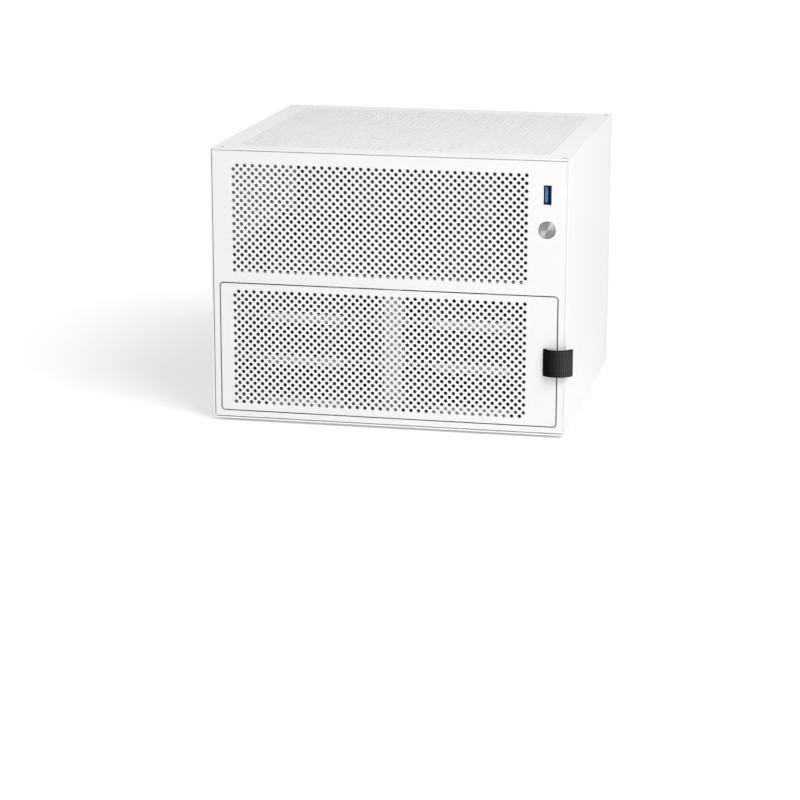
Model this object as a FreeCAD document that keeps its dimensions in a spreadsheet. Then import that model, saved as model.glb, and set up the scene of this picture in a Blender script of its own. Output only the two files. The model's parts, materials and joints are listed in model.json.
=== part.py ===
import FreeCAD, Part
import math
import os

import Sketcher

# Desktop NAS case: a folded sheet shell with a perforated top and front, a pull-off bay door with a webbing
# strap, six drive sleds in two columns, a shelf for the main board above them and two fans behind them.
# Millimetres. The origin is on the ground under the middle of the case, the front faces -Y and +X is to
# the right.

doc = FreeCAD.newDocument("nas_case")

# Driving dimensions

SIZES = [
    ("case_width", 266, "outside width of the folded shell"),
    ("case_depth", 246, "outside depth, front face to rear face"),
    ("case_height", 203.8, "underside of the shell to the top of the cover"),
    ("sheet_thick", 1.2, "shell, shelf, rear panel and brackets"),
    ("bend_radius", 1.5, "inside radius of the shell's bends"),
    ("top_thick", 1, "top cover"),
    ("top_lip", 13, "width of the shell's inturned top edges"),
    ("top_margin", 17, "cover's edge to its grille"),
    ("foot_height", 2, "rubber feet"),
    ("foot_width", 15, "rubber feet, where they meet the shell"),
    ("foot_taper", 1, "how far each side of a foot slopes in towards the ground"),
    ("foot_inset", 24, "middle of a foot from the sides, front and back"),
    ("panel_thick", 1.5, "front panel"),
    ("panel_gap", 0.7, "dark gap between the front panel and the shell"),
    ("bracket_leg", 9, "bracket behind the front panel, across"),
    ("bracket_depth", 15, "bracket behind the front panel, along the side"),
    ("bracket_rise", 8, "shelf to the top of the brackets behind the front panel"),
    ("door_side_margin", 7, "side of the case to the door's edge"),
    ("door_height", 96.4, "bay door"),
    ("door_bottom", 6.9, "underside of the shell to the door's lower edge"),
    ("door_thick", 1.2, "bay door"),
    ("door_gap", 0.8, "seam round the door"),
    ("door_corner", 2, "corner radius of the door"),
    ("magnet_width", 4, "door magnets"),
    ("magnet_height", 12, "door magnets"),
    ("magnet_depth", 3, "door magnets"),
    ("magnet_inset", 12, "magnets from the door's upper and lower edges"),
    ("magnet_margin", 0.5, "magnets from the free edge of the bracket"),
    ("grille_left_margin", 16.4, "left side of the case to the front grilles"),
    ("grille_right_margin", 29.3, "front grilles to the right side of the case"),
    ("grille_columns", 11, "holes in a row of the front grilles"),
    ("upper_grille_top", 10.7, "top of the case to the upper grille"),
    ("upper_grille_bottom", 8.7, "upper grille to the door's upper edge"),
    ("upper_grille_rows", 7, "rows of the upper grille"),
    ("door_grille_top", 4.4, "door's upper edge to its grille"),
    ("door_grille_bottom", 5.1, "door's grille to its lower edge"),
    ("door_grille_rows", 8, "rows of the door's grille"),
    ("top_columns", 8, "holes in a row of the cover's grille"),
    ("top_rows", 12, "rows of the cover's grille"),
    ("top_hole_radius", 9.6, "middle of a hole in the cover to its corners"),
    ("grille_hole_radius", 6.5, "middle of a hole in the front grilles to its corners"),
    ("grille_hole_sides", 4, "sides of a grille hole"),
    ("control_inset", 15.4, "right side of the case to the middle of the USB port and button"),
    ("usb_drop", 26, "top of the case to the middle of the USB port"),
    ("usb_width", 6.6, "USB port's metal shell, across"),
    ("usb_height", 14.6, "USB port's metal shell, upright"),
    ("usb_wall", 0.35, "USB port's metal shell"),
    ("usb_depth", 17, "USB port's metal shell"),
    ("usb_base", 5, "insulator that fills the back of the USB port"),
    ("usb_room", 0.2, "room round the USB port in the panel"),
    ("tongue_thick", 1.9, "USB port's tongue"),
    ("tongue_height", 11.2, "USB port's tongue"),
    ("tongue_length", 9, "USB port's tongue"),
    ("tongue_shift", 1.2, "USB port's tongue left of the middle of the port"),
    ("board_thick", 1.6, "circuit boards"),
    ("io_board_height", 30, "circuit board of the USB port"),
    ("io_board_depth", 20, "circuit board of the USB port"),
    ("io_bracket_leg", 6, "foot of that board's bracket on the panel"),
    ("button_drop", 51.4, "top of the case to the middle of the button"),
    ("button_radius", 6, "power button"),
    ("button_room", 0.3, "room round the power button"),
    ("button_proud", 0.3, "power button in front of the panel"),
    ("button_chamfer", 0.4, "edge of the power button's face"),
    ("button_skirt", 5, "length of the power button's rim"),
    ("stem_radius", 2.5, "power button's stem"),
    ("stem_length", 3, "power button's stem behind the rim"),
    ("housing_wall", 1.6, "button housing"),
    ("housing_depth", 14, "button housing"),
    ("switch_width", 6, "switch in the button housing"),
    ("switch_height", 4.5, "switch in the button housing"),
    ("strap_width", 20, "pull strap"),
    ("strap_thick", 2, "pull strap, both layers"),
    ("strap_bottom", 45, "underside of the shell to the strap's lower edge"),
    ("strap_exit", 8.5, "strap's slot from the door's right edge"),
    ("strap_reach", 2.6, "end of the strap's middle line beyond the case's side"),
    ("strap_lift", 0.9, "that end to where the strap's arc would meet the plane of the front again"),
    ("strap_bulge", 2.9, "middle of the strap in front of the door at its fullest"),
    ("strap_room", 0.4, "room round the strap in its slot"),
    ("clamp_thick", 2.5, "block that holds the strap behind the door"),
    ("clamp_wall", 1.5, "that block beside the slot"),
    ("shelf_room", 3.75, "top of the upper bays to the shelf"),
    ("shelf_setback", 2, "front edge of the shelf behind the front panel"),
    ("shelf_fold", 8, "turned edges of the shelf"),
    ("shelf_slot_width", 60, "cable slots in the shelf"),
    ("shelf_slot_depth", 20, "cable slots in the shelf"),
    ("shelf_slot_setback", 30, "cable slots behind the shelf's front edge"),
    ("board_left", 5, "main board from the inside of the left wall"),
    ("board_hole_margin", 6.35, "main board's edge to its holes"),
    ("board_hole_back", 12, "rear panel to the main board's rear holes"),
    ("board_span_x", 157.48, "main board's holes, left to right"),
    ("board_span_y", 154.94, "main board's holes, front to back"),
    ("standoff_radius", 3, "standoffs, middle to corners"),
    ("standoff_height", 6.5, "standoffs"),
    ("standoff_bore", 1.25, "thread bore of the standoffs"),
    ("io_width", 158.75, "main board's aperture in the rear panel"),
    ("io_height", 44.45, "main board's aperture in the rear panel"),
    ("io_raise", 2.5, "shelf to the lower edge of that aperture"),
    ("psu_gap", 7.635, "main board's aperture to the power supply's aperture"),
    ("psu_height", 40.5, "power supply's aperture in the rear panel"),
    ("psu_inset", 5, "that aperture from the inside of the right wall"),
    ("psu_raise", 1.5, "shelf to the lower edge of that aperture"),
    ("rear_fold", 10, "turned edges of the rear panel"),
    ("blank_thick", 0.8, "sheet of the pressed plates that close the two apertures"),
    ("blank_overlap", 1.2, "rim of those plates beyond their aperture"),
    ("blank_room", 0.3, "raised middle of those plates to the edge of the aperture"),
    ("blank_sink", 0.2, "raised middle of those plates behind the rear face"),
    ("bay_pitch_z", 32.35, "drive bays, upright"),
    ("bay_floor", 11, "underside of the shell to the lowest sled"),
    ("cage_thick", 1, "sheet of the drive cage"),
    ("cage_side_gap", 5.9, "inside of the case to the cage's outer walls"),
    ("cage_setback", 20, "front face to the cage"),
    ("cage_length", 146, "cage, front to back"),
    ("cage_flange", 13, "turned front and rear edges of the cage's divider"),
    ("ledge_overlap", 6, "how far a ledge reaches under a sled"),
    ("sled_thick", 1, "sheet of the sleds"),
    ("sled_side_gap", 7.2, "cage's walls to the sleds"),
    ("sled_wall", 14, "turned up sides of the sleds"),
    ("sled_length", 136, "sleds without the pull tab"),
    ("sled_window_width", 24, "window in a sled's floor"),
    ("sled_window_length", 70, "window in a sled's floor"),
    ("sled_window_back", 40, "cage's front to that window"),
    ("tab_width", 57, "pull tab of a sled"),
    ("tab_height", 5.6, "pull tab of a sled"),
    ("tab_setback", 3.4, "front face to the pull tab"),
    ("backplane_edge", 4, "backplane beyond the cage's walls, left and right"),
    ("backplane_bottom", 6, "shell's floor to the backplane"),
    ("backplane_top", 6.6, "backplane to the shelf"),
    ("socket_width", 42, "drive sockets on the backplane"),
    ("socket_height", 6, "drive sockets on the backplane"),
    ("socket_depth", 8, "drive sockets on the backplane"),
    ("socket_raise", 2, "sled's floor to the drive socket"),
    ("socket_slot", 2.4, "slot of a drive socket"),
    ("socket_slot_depth", 6, "slot of a drive socket"),
    ("vent_width", 36, "air windows in the backplane"),
    ("vent_height", 14, "air windows in the backplane"),
    ("vent_raise", 9, "drive socket's lower edge to the air window"),
    ("vent_shift", 27, "middle of a bay to the middle of an air window"),
    ("fan_size", 80, "fan frames, across"),
    ("fan_depth", 25, "fan frames"),
    ("fan_bore", 38, "radius of the fan frames' opening"),
    ("fan_raise", 55.6, "shell's floor to the middle of the fans"),
    ("fan_grille_radius", 37, "perforated field in front of a fan"),
    ("fan_grille_pitch", 18, "holes of that field, along a row"),
    ("fan_grille_hole", 5.4, "middle of such a hole to its corners"),
    ("strut_width", 4, "arms that hold the fan's motor"),
    ("strut_depth", 4, "arms that hold the fan's motor"),
    ("hub_radius", 16, "fan hub and motor"),
    ("hub_depth", 16, "fan hub"),
    ("hub_gap", 0.6, "between fan hub and motor"),
    ("hub_recess", 1.5, "front of the fan frame to the hub"),
    ("shaft_radius", 1.5, "fan shaft"),
    ("shaft_room", 0.05, "radial room of the fan shaft in its bush"),
    ("shaft_length", 3.5, "fan shaft in its bush"),
    ("blade_count", 7, "fan blades"),
    ("blade_root", 12.8, "inner ends of the fan blades, in the hub, from the axis"),
    ("blade_reach", 36.5, "tips of the fan blades from the axis"),
    ("blade_sweep", 13, "how far a blade turns over its depth"),
    ("blade_thick", 2, "fan blades"),
    ("blade_depth", 12, "fan blades"),
]

sheet = doc.addObject("Spreadsheet::Sheet", "dim")
for row, (alias, value, note) in enumerate(SIZES, start=1):
    sheet.set(f"A{row}", alias)
    sheet.set(f"B{row}", str(value))
    sheet.set(f"C{row}", note)
    sheet.setAlias(f"B{row}", alias)
doc.recompute()


def size(alias):
    """A driving dimension as a number."""
    return float(sheet.get(alias))


# Drive bays, one above the other in each of two columns
LEVELS = 3

# Main planes, as expressions of the sheet

RIGHT = "dim.case_width / 2"
INSIDE = "(dim.case_width / 2 - dim.sheet_thick)"
FRONT = "(-dim.case_depth / 2)"
PANEL_BACK = "(dim.panel_thick - dim.case_depth / 2)"
REAR_INSIDE = "(dim.case_depth / 2 - dim.sheet_thick)"
UNDER = "dim.foot_height"
FLOOR = "(dim.foot_height + dim.sheet_thick)"
CROWN = "(dim.foot_height + dim.case_height)"
ROOF = f"({CROWN} - dim.top_thick)"
SHELF_FRONT = f"({PANEL_BACK} + dim.shelf_setback)"
CAGE_FRONT = f"({FRONT} + dim.cage_setback)"
CAGE_BACK = f"({CAGE_FRONT} + dim.cage_length)"
BAY_FLOOR = "(dim.foot_height + dim.bay_floor)"
BAY_PITCH = f"({INSIDE} - dim.cage_side_gap - dim.cage_thick / 2)"
SHELF_UNDER = f"({BAY_FLOOR} + {LEVELS} * dim.bay_pitch_z + dim.shelf_room)"
SHELF_TOP = f"({SHELF_UNDER} + dim.sheet_thick)"
CONTROL_X = f"({RIGHT} - dim.control_inset)"
DOOR_BOTTOM = "(dim.foot_height + dim.door_bottom)"
DOOR_TOP = f"({DOOR_BOTTOM} + dim.door_height)"
FAN_HEIGHT = f"({FLOOR} + dim.fan_raise)"
USB_HEIGHT = f"({CROWN} - dim.usb_drop)"
BUTTON_HEIGHT = f"({CROWN} - dim.button_drop)"
BOARD_MIDDLE_X = f"(dim.board_left - {INSIDE} + dim.board_hole_margin + dim.board_span_x / 2)"
BOARD_MIDDLE_Y = f"({REAR_INSIDE} - dim.board_hole_back - dim.board_span_y / 2)"
IO_RIGHT = f"({BOARD_MIDDLE_X} + dim.io_width / 2)"
IO_LOW = f"({SHELF_TOP} + dim.io_raise)"
PSU_LOW = f"({SHELF_TOP} + dim.psu_raise)"

# The same planes as numbers, for the shapes made from wires

half_width = size("case_width") / 2
half_depth = size("case_depth") / 2
inside = half_width - size("sheet_thick")
floor = size("foot_height") + size("sheet_thick")
crown = size("foot_height") + size("case_height")
roof = crown - size("top_thick")
bays_top = size("foot_height") + size("bay_floor") + LEVELS * size("bay_pitch_z")
shelf_top = bays_top + size("shelf_room") + size("sheet_thick")
bay_pitch = inside - size("cage_side_gap") - size("cage_thick") / 2
door_bottom = size("foot_height") + size("door_bottom")
door_top = door_bottom + size("door_height")
door_edge = half_width - size("door_side_margin")
control_x = half_width - size("control_inset")
fan_height = floor + size("fan_raise")

# Two places closer than this are the same place.
SAME_PLACE = 1e-6

# Turns a shape's Y axis to point up
UPRIGHT = FreeCAD.Rotation(FreeCAD.Vector(1, 0, 0), 90)

parts = []


# Drawing helpers

def new_body(label):
    """A body that becomes one piece of the case."""
    body = doc.addObject("PartDesign::Body", label)
    body.Label = label
    parts.append(body)
    return body


def place(thing, x="0", y="0", z="0"):
    """Ties the place of a piece to the sheet."""
    for axis, expression in zip("xyz", (x, y, z)):
        thing.setExpression(f"Placement.Base.{axis}", expression)


def rectangle(left, right, low, high):
    """Corners of a rectangle, as expressions."""
    return [(left, low), (right, low), (right, high), (left, high)]


def box_about(x, y, width, height):
    """Corners of a rectangle about a middle point, as expressions."""
    return rectangle(
        f"{x} - {width} / 2", f"{x} + {width} / 2", f"{y} - {height} / 2", f"{y} + {height} / 2"
    )


def origin_feature(body, role):
    return next(feature for feature in body.Origin.OriginFeatures if feature.Role == role)


def tie(sketch, kind, geometry, point, expression):
    """Sets a point's distance from the sketch's origin to an expression."""
    number = sketch.addConstraint(Sketcher.Constraint(kind, -1, 1, geometry, point, 1.0))
    sketch.setExpression(f"Constraints[{number}]", expression)


def draw(body, plane, start, loops):
    """A sketch of closed loops on an origin plane, moved to start along the axis that it is padded along.

    A loop is a list of corners, or a circle as (x, y, radius), all of them expressions.
    """
    sketch = body.newObject("Sketcher::SketchObject", f"{body.Name}_sketch")
    sketch.AttachmentSupport = [(origin_feature(body, plane), "")]
    sketch.MapMode = "FlatFace"
    sketch.setExpression("AttachmentOffset.Base.z", f"-({start})" if plane == "XZ_Plane" else start)
    for loop in loops:
        first = sketch.GeometryCount
        if isinstance(loop, tuple):
            x, y, radius = loop
            sketch.addGeometry(Part.Circle(FreeCAD.Vector(1, 1, 0), FreeCAD.Vector(0, 0, 1), 1), False)
            tie(sketch, "DistanceX", first, 3, x)
            tie(sketch, "DistanceY", first, 3, y)
            number = sketch.addConstraint(Sketcher.Constraint("Radius", first, 1.0))
            sketch.setExpression(f"Constraints[{number}]", radius)
            continue
        count = len(loop)
        turns = [2 * math.pi * corner / count for corner in range(count)]
        corners = [FreeCAD.Vector(math.cos(turn), math.sin(turn), 0) for turn in turns]
        for corner in range(count):
            ends = corners[corner], corners[(corner + 1) % count]
            sketch.addGeometry(Part.LineSegment(*ends), False)
        for corner, (x, y) in enumerate(loop):
            after = first + (corner + 1) % count
            sketch.addConstraint(Sketcher.Constraint("Coincident", first + corner, 2, after, 1))
            tie(sketch, "DistanceX", first + corner, 1, x)
            tie(sketch, "DistanceY", first + corner, 1, y)
    return sketch


def pad(body, plane, start, length, loops):
    """Adds material from start onwards along +X, +Y or +Z."""
    feature = body.newObject("PartDesign::Pad", f"{body.Name}_pad")
    feature.Profile = draw(body, plane, start, loops)
    feature.Reversed = plane == "XZ_Plane"
    feature.setExpression("Length", length)
    return feature


def pocket(body, plane, start, length, loops):
    """Takes material away from start onwards along +X, +Y or +Z."""
    feature = body.newObject("PartDesign::Pocket", f"{body.Name}_pocket")
    feature.Profile = draw(body, plane, start, loops)
    feature.Reversed = plane != "XZ_Plane"
    feature.setExpression("Length", length)
    return feature


def revolve(body, profile):
    """Turns a half section, given as (radius, depth) corners, about the body's Y axis."""
    sketch = draw(body, "XY_Plane", "0", [profile])
    feature = body.newObject("PartDesign::Revolution", f"{body.Name}_turn")
    feature.Profile = sketch
    feature.ReferenceAxis = (sketch, ["V_Axis"])
    return feature


def wire_feature(label, shape):
    """A piece whose shape comes from faces and wires."""
    feature = doc.addObject("Part::Feature", label)
    feature.Label = label
    feature.Shape = shape
    parts.append(feature)
    return feature


def rounded_wire(left, right, low, high, radius):
    """Rectangle with round corners in the XY plane."""
    quarter = radius * (1 - math.sqrt(0.5))
    edges = []
    lows = [(left + radius, low), (right - radius, low), (right - quarter, low + quarter)]
    rights = [(right, low + radius), (right, high - radius), (right - quarter, high - quarter)]
    highs = [(right - radius, high), (left + radius, high), (left + quarter, high - quarter)]
    lefts = [(left, high - radius), (left, low + radius), (left + quarter, low + quarter)]
    sides = [lows, rights, highs, lefts]
    for side, (begin, end, bend) in enumerate(sides):
        following = sides[(side + 1) % 4][0]
        begin, end, bend, following = [FreeCAD.Vector(*point) for point in (begin, end, bend, following)]
        edges.append(Part.LineSegment(begin, end).toShape())
        edges.append(Part.Arc(end, bend, following).toShape())
    return Part.Wire(edges)


def square_wire(left, right, low, high):
    """Rectangle with sharp corners in the XY plane."""
    corners = [(left, low), (right, low), (right, high), (left, high), (left, low)]
    return Part.makePolygon([FreeCAD.Vector(*corner) for corner in corners])


def round_wire(x, y, radius):
    return Part.Wire(Part.makeCircle(radius, FreeCAD.Vector(x, y, 0)))


def hole_wire(x, y, radius):
    """One grille hole, a corner pointing up."""
    sides = int(size("grille_hole_sides"))
    turns = [math.pi / 2 + 2 * math.pi * corner / sides for corner in range(sides + 1)]
    return Part.makePolygon(
        [FreeCAD.Vector(x + radius * math.cos(turn), y + radius * math.sin(turn), 0) for turn in turns]
    )


def grille_holes(left, right, low, high, columns, rows, radius):
    """Holes that fill a field in rows, each row half a pitch along from the one below it."""
    pitch = (right - left - 2 * radius) / (columns - 0.5)
    rise = (high - low - 2 * radius) / (rows - 1)
    return [
        hole_wire(left + radius + (column + (row % 2) / 2) * pitch, low + radius + row * rise, radius)
        for row in range(rows)
        for column in range(columns)
    ]


def front_grille(low, high, rows):
    """Holes of one of the two grilles in the front, between two heights."""
    return grille_holes(
        size("grille_left_margin") - half_width,
        half_width - size("grille_right_margin"),
        low,
        high,
        int(size("grille_columns")),
        rows,
        size("grille_hole_radius"),
    )


def plate(outer, holes, thickness):
    """Flat plate in the XY plane, from z = 0 up, with holes through it."""
    face = Part.makeFace([outer] + holes, "Part::FaceMakerBullseye")
    return face.extrude(FreeCAD.Vector(0, 0, thickness))


def stand_up(shape, front):
    """Turns a plate drawn in X and Y to face -Y, with its front face at the given depth."""
    turn = FreeCAD.Rotation(FreeCAD.Vector(1, 0, 0), 90)
    depth = shape.BoundBox.ZMax
    shape.Placement = FreeCAD.Placement(FreeCAD.Vector(0, front + depth, 0), turn)
    return shape


def gather(label, pieces):
    """Like pieces in one group of separate solids."""
    group = doc.addObject("Part::Compound", label)
    group.Label = label
    group.Links = pieces
    parts.append(group)


def edges_along_y(shape, x, z):
    """Names of the edges along Y at a distance x either side of the middle and at height z."""
    names = []
    for number, edge in enumerate(shape.Edges, start=1):
        box = edge.BoundBox
        level = max(abs(box.ZMin - z), abs(box.ZMax - z)) < SAME_PLACE
        beside = abs(abs(box.XMin) - x) < SAME_PLACE
        if level and beside and box.YLength > box.XLength:
            names.append(f"Edge{number}")
    return names


# Outer shell

def base_shell():
    """U of folded sheet: left wall, floor and right wall, with inturned top edges between the two panels."""
    body = new_body("base_shell")
    left = f"-{INSIDE}"
    section = [
        (f"-{RIGHT}", UNDER),
        (RIGHT, UNDER),
        (RIGHT, ROOF),
        (INSIDE, ROOF),
        (INSIDE, FLOOR),
        (left, FLOOR),
        (left, ROOF),
        (f"-{RIGHT}", ROOF),
    ]
    folded = pad(body, "XZ_Plane", FRONT, "dim.case_depth", [section])
    doc.recompute()
    bends = body.newObject("PartDesign::Fillet", "inside_bends")
    bends.Base = (folded, edges_along_y(folded.Shape, inside, floor))
    bends.setExpression("Radius", "dim.bend_radius")
    doc.recompute()
    outer = body.newObject("PartDesign::Fillet", "outside_bends")
    outer.Base = (bends, edges_along_y(bends.Shape, half_width, size("foot_height")))
    outer.setExpression("Radius", "dim.bend_radius + dim.sheet_thick")
    lip_reach = f"({RIGHT} - dim.top_lip)"
    lips = [
        rectangle(lip_reach, INSIDE, f"{ROOF} - dim.sheet_thick", ROOF),
        rectangle(left, f"-{lip_reach}", f"{ROOF} - dim.sheet_thick", ROOF),
    ]
    pad(body, "XZ_Plane", PANEL_BACK, f"{REAR_INSIDE} - {PANEL_BACK}", lips)


def top_cover():
    """Flat perforated plate that lies on the shell's inturned edges."""
    across = half_width - size("top_margin")
    along = half_depth - size("top_margin")
    columns = int(size("top_columns"))
    rows = int(size("top_rows"))
    holes = grille_holes(-across, across, -along, along, columns, rows, size("top_hole_radius"))
    outer = square_wire(-half_width, half_width, -half_depth, half_depth)
    cover = wire_feature("top_cover", plate(outer, holes, size("top_thick")))
    cover.Placement.Base = FreeCAD.Vector(0, 0, roof)


def feet():
    """A square rubber foot with sloping sides near each corner."""
    group = []
    for y_sign in ("-", ""):
        for x_sign in ("-", ""):
            foot = doc.addObject("Part::Wedge", f"foot_{len(group) + 1}")
            for side, sign in (("min", "-"), ("max", "")):
                for axis in "XZ":
                    foot.setExpression(f"{axis}{side}", f"{sign}(dim.foot_width / 2 - dim.foot_taper)")
                    foot.setExpression(f"{axis}2{side}", f"{sign}dim.foot_width / 2")
            foot.Ymin = 0
            foot.setExpression("Ymax", "dim.foot_height")
            foot.Placement.Rotation = UPRIGHT
            x = f"{x_sign}({RIGHT} - dim.foot_inset)"
            y = f"{y_sign}(dim.case_depth / 2 - dim.foot_inset)"
            place(foot, x, y)
            group.append(foot)
    gather("feet", group)


# Front panel, its brackets and the door

def front_panel():
    """Flat plate inside the shell's front edge: upper grille, door opening, USB slot and button hole."""
    gap = size("panel_gap")
    edge = inside - gap
    outer = square_wire(-edge, edge, floor + gap, roof - gap)
    seam = size("door_gap")
    opening = rounded_wire(
        -door_edge - seam, door_edge + seam, door_bottom - seam, door_top + seam, size("door_corner") + seam
    )
    usb_z = crown - size("usb_drop")
    usb_x_half = size("usb_width") / 2 + size("usb_room")
    usb_z_half = size("usb_height") / 2 + size("usb_room")
    usb_slot = square_wire(
        control_x - usb_x_half, control_x + usb_x_half, usb_z - usb_z_half, usb_z + usb_z_half
    )
    button_radius = size("button_radius") + size("button_room")
    button_hole = round_wire(control_x, crown - size("button_drop"), button_radius)
    grille = front_grille(
        door_top + size("upper_grille_bottom"),
        crown - size("upper_grille_top"),
        int(size("upper_grille_rows")),
    )
    shape = plate(outer, [opening, usb_slot, button_hole] + grille, size("panel_thick"))
    wire_feature("front_panel", stand_up(shape, -half_depth))


def panel_brackets():
    """Angle behind each side of the front panel, fixed to the shell. The door shuts against it."""
    for side, sign in (("left", "-"), ("right", "")):
        body = new_body(f"panel_bracket_{side}")
        wall = f"{sign}{INSIDE}"
        skin = f"{sign}({INSIDE} - dim.sheet_thick)"
        reach = f"{sign}({INSIDE} - dim.bracket_leg)"
        angle = [
            (wall, PANEL_BACK),
            (wall, f"{PANEL_BACK} + dim.bracket_depth"),
            (skin, f"{PANEL_BACK} + dim.bracket_depth"),
            (skin, f"{PANEL_BACK} + dim.sheet_thick"),
            (reach, f"{PANEL_BACK} + dim.sheet_thick"),
            (reach, PANEL_BACK),
        ]
        start = f"({FLOOR} + dim.bend_radius)"
        pad(body, "XY_Plane", start, f"{SHELF_TOP} + dim.bracket_rise - {start}", [angle])


def door_magnets():
    """Four bar magnets on the backs of the brackets that hold the steel door shut."""
    group = []
    edge = f"({INSIDE} - dim.bracket_leg + dim.magnet_margin)"
    heights = [f"({DOOR_BOTTOM} + dim.magnet_inset)", f"({DOOR_TOP} - dim.magnet_inset)"]
    for left in (f"-{edge} - dim.magnet_width", edge):
        for height in heights:
            magnet = doc.addObject("Part::Box", f"magnet_{len(group) + 1}")
            magnet.setExpression("Length", "dim.magnet_width")
            magnet.setExpression("Width", "dim.magnet_depth")
            magnet.setExpression("Height", "dim.magnet_height")
            place(
                magnet,
                left,
                f"{PANEL_BACK} + dim.sheet_thick",
                f"{height} - dim.magnet_height / 2",
            )
            group.append(magnet)
    gather("door_magnets", group)


def strap_arc():
    """Middle and radius of the arc that the strap's middle line follows, seen from above."""
    left = door_edge - size("strap_exit")
    right = half_width + size("strap_reach") + size("strap_lift")
    half_chord = (right - left) / 2
    bulge = size("strap_bulge")
    radius = (half_chord**2 + bulge**2) / (2 * bulge)
    return (left + right) / 2, -half_depth - bulge + radius, radius


def strap_slot(front, back):
    """Left and right limits of the strap between two depths, with room on both sides."""
    x, y, radius = strap_arc()
    room = size("strap_thick") / 2 + size("strap_room")
    left = x - math.sqrt((radius + room) ** 2 - (y - back) ** 2)
    right = x - math.sqrt((radius - room) ** 2 - (y - front) ** 2)
    return min(left, right), max(left, right)


def strap_heights():
    low = size("foot_height") + size("strap_bottom")
    return low, low + size("strap_width")


def clamp_limits():
    """Left, right, front and back of the block that holds the strap behind the door."""
    front = -half_depth + size("door_thick")
    back = front + size("clamp_thick")
    left, right = strap_slot(-half_depth, back)
    return left - size("clamp_wall"), right + size("clamp_wall"), front, back


def bay_door():
    """Perforated plate, flush with the front panel, with a slot for the strap."""
    outer = rounded_wire(-door_edge, door_edge, door_bottom, door_top, size("door_corner"))
    grille = front_grille(
        door_bottom + size("door_grille_bottom"),
        door_top - size("door_grille_top"),
        int(size("door_grille_rows")),
    )
    left, right = strap_slot(-half_depth, clamp_limits()[3])
    low, high = strap_heights()
    room = size("strap_room")
    slot = square_wire(left, right, low - room, high + room)
    shape = plate(outer, grille + [slot], size("door_thick"))
    wire_feature("bay_door", stand_up(shape, -half_depth))


def pull_strap():
    """Folded webbing: out of the slot, over the door's edge and round the corner of the case, in one arc."""
    x, y, radius = strap_arc()
    half_thick = size("strap_thick") / 2
    low, high = strap_heights()
    back = clamp_limits()[3]
    start = math.pi + math.asin((y - back) / radius)
    finish = 2 * math.pi - math.acos((half_width + size("strap_reach") - x) / radius)
    middle = (start + finish) / 2

    def spot(turn, distance):
        return FreeCAD.Vector(x + distance * math.cos(turn), y + distance * math.sin(turn), low)

    outer = [spot(turn, radius + half_thick) for turn in (start, middle, finish)]
    inner = [spot(turn, radius - half_thick) for turn in (finish, middle, start)]
    fold = spot(finish + half_thick / radius, radius)
    edges = [
        Part.Arc(*outer).toShape(),
        Part.Arc(outer[2], fold, inner[0]).toShape(),
        Part.Arc(*inner).toShape(),
        Part.LineSegment(inner[2], outer[0]).toShape(),
    ]
    shape = Part.Face(Part.Wire(edges)).extrude(FreeCAD.Vector(0, 0, high - low))
    wire_feature("pull_strap", shape)


def strap_clamp():
    """Block behind the door whose slot holds the strap's end."""
    left, right, front, back = clamp_limits()
    slot_left, slot_right = strap_slot(-half_depth, back)
    low, high = strap_heights()
    wall = size("clamp_wall")
    room = size("strap_room")
    outer = square_wire(left, right, low - wall, high + wall)
    slot = square_wire(slot_left, slot_right, low - room, high + room)
    shape = plate(outer, [slot], back - front)
    wire_feature("strap_clamp", stand_up(shape, front))


# USB port and power button

def usb_port():
    """Upright USB-A port: folded metal shell, and an insulator with its tongue."""
    tube = new_body("usb_shell")
    inner_width = "(dim.usb_width - 2 * dim.usb_wall)"
    inner_height = "(dim.usb_height - 2 * dim.usb_wall)"
    loops = [
        box_about("0", "0", "dim.usb_width", "dim.usb_height"),
        box_about("0", "0", inner_width, inner_height),
    ]
    pad(tube, "XZ_Plane", "0", "dim.usb_depth", loops)
    place(tube, CONTROL_X, FRONT, USB_HEIGHT)
    insulator = new_body("usb_tongue")
    base_start = "dim.usb_depth - dim.usb_base"
    pad(insulator, "XZ_Plane", base_start, "dim.usb_base", [box_about("0", "0", inner_width, inner_height)])
    tongue = [box_about("-dim.tongue_shift", "0", "dim.tongue_thick", "dim.tongue_height")]
    pad(insulator, "XZ_Plane", f"{base_start} - dim.tongue_length", "dim.tongue_length", tongue)
    place(insulator, CONTROL_X, FRONT, USB_HEIGHT)


def io_board_and_bracket():
    """Small circuit board beside the USB port, and the angle that holds it on the front panel."""
    right = f"({CONTROL_X} - dim.usb_width / 2)"
    left = f"({right} - dim.board_thick)"
    bottom = f"{USB_HEIGHT} - dim.io_board_height / 2"
    board = new_body("front_io_board")
    front = f"({PANEL_BACK} + dim.sheet_thick)"
    pad(
        board,
        "XY_Plane",
        bottom,
        "dim.io_board_height",
        [rectangle(left, right, front, f"{front} + dim.io_board_depth")],
    )
    bracket = new_body("io_bracket")
    angle = [
        (left, PANEL_BACK),
        (left, f"{front} + dim.io_board_depth"),
        (f"{left} - dim.sheet_thick", f"{front} + dim.io_board_depth"),
        (f"{left} - dim.sheet_thick", front),
        (f"{left} - dim.io_bracket_leg", front),
        (f"{left} - dim.io_bracket_leg", PANEL_BACK),
    ]
    pad(bracket, "XY_Plane", bottom, "dim.io_board_height", [angle])


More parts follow.
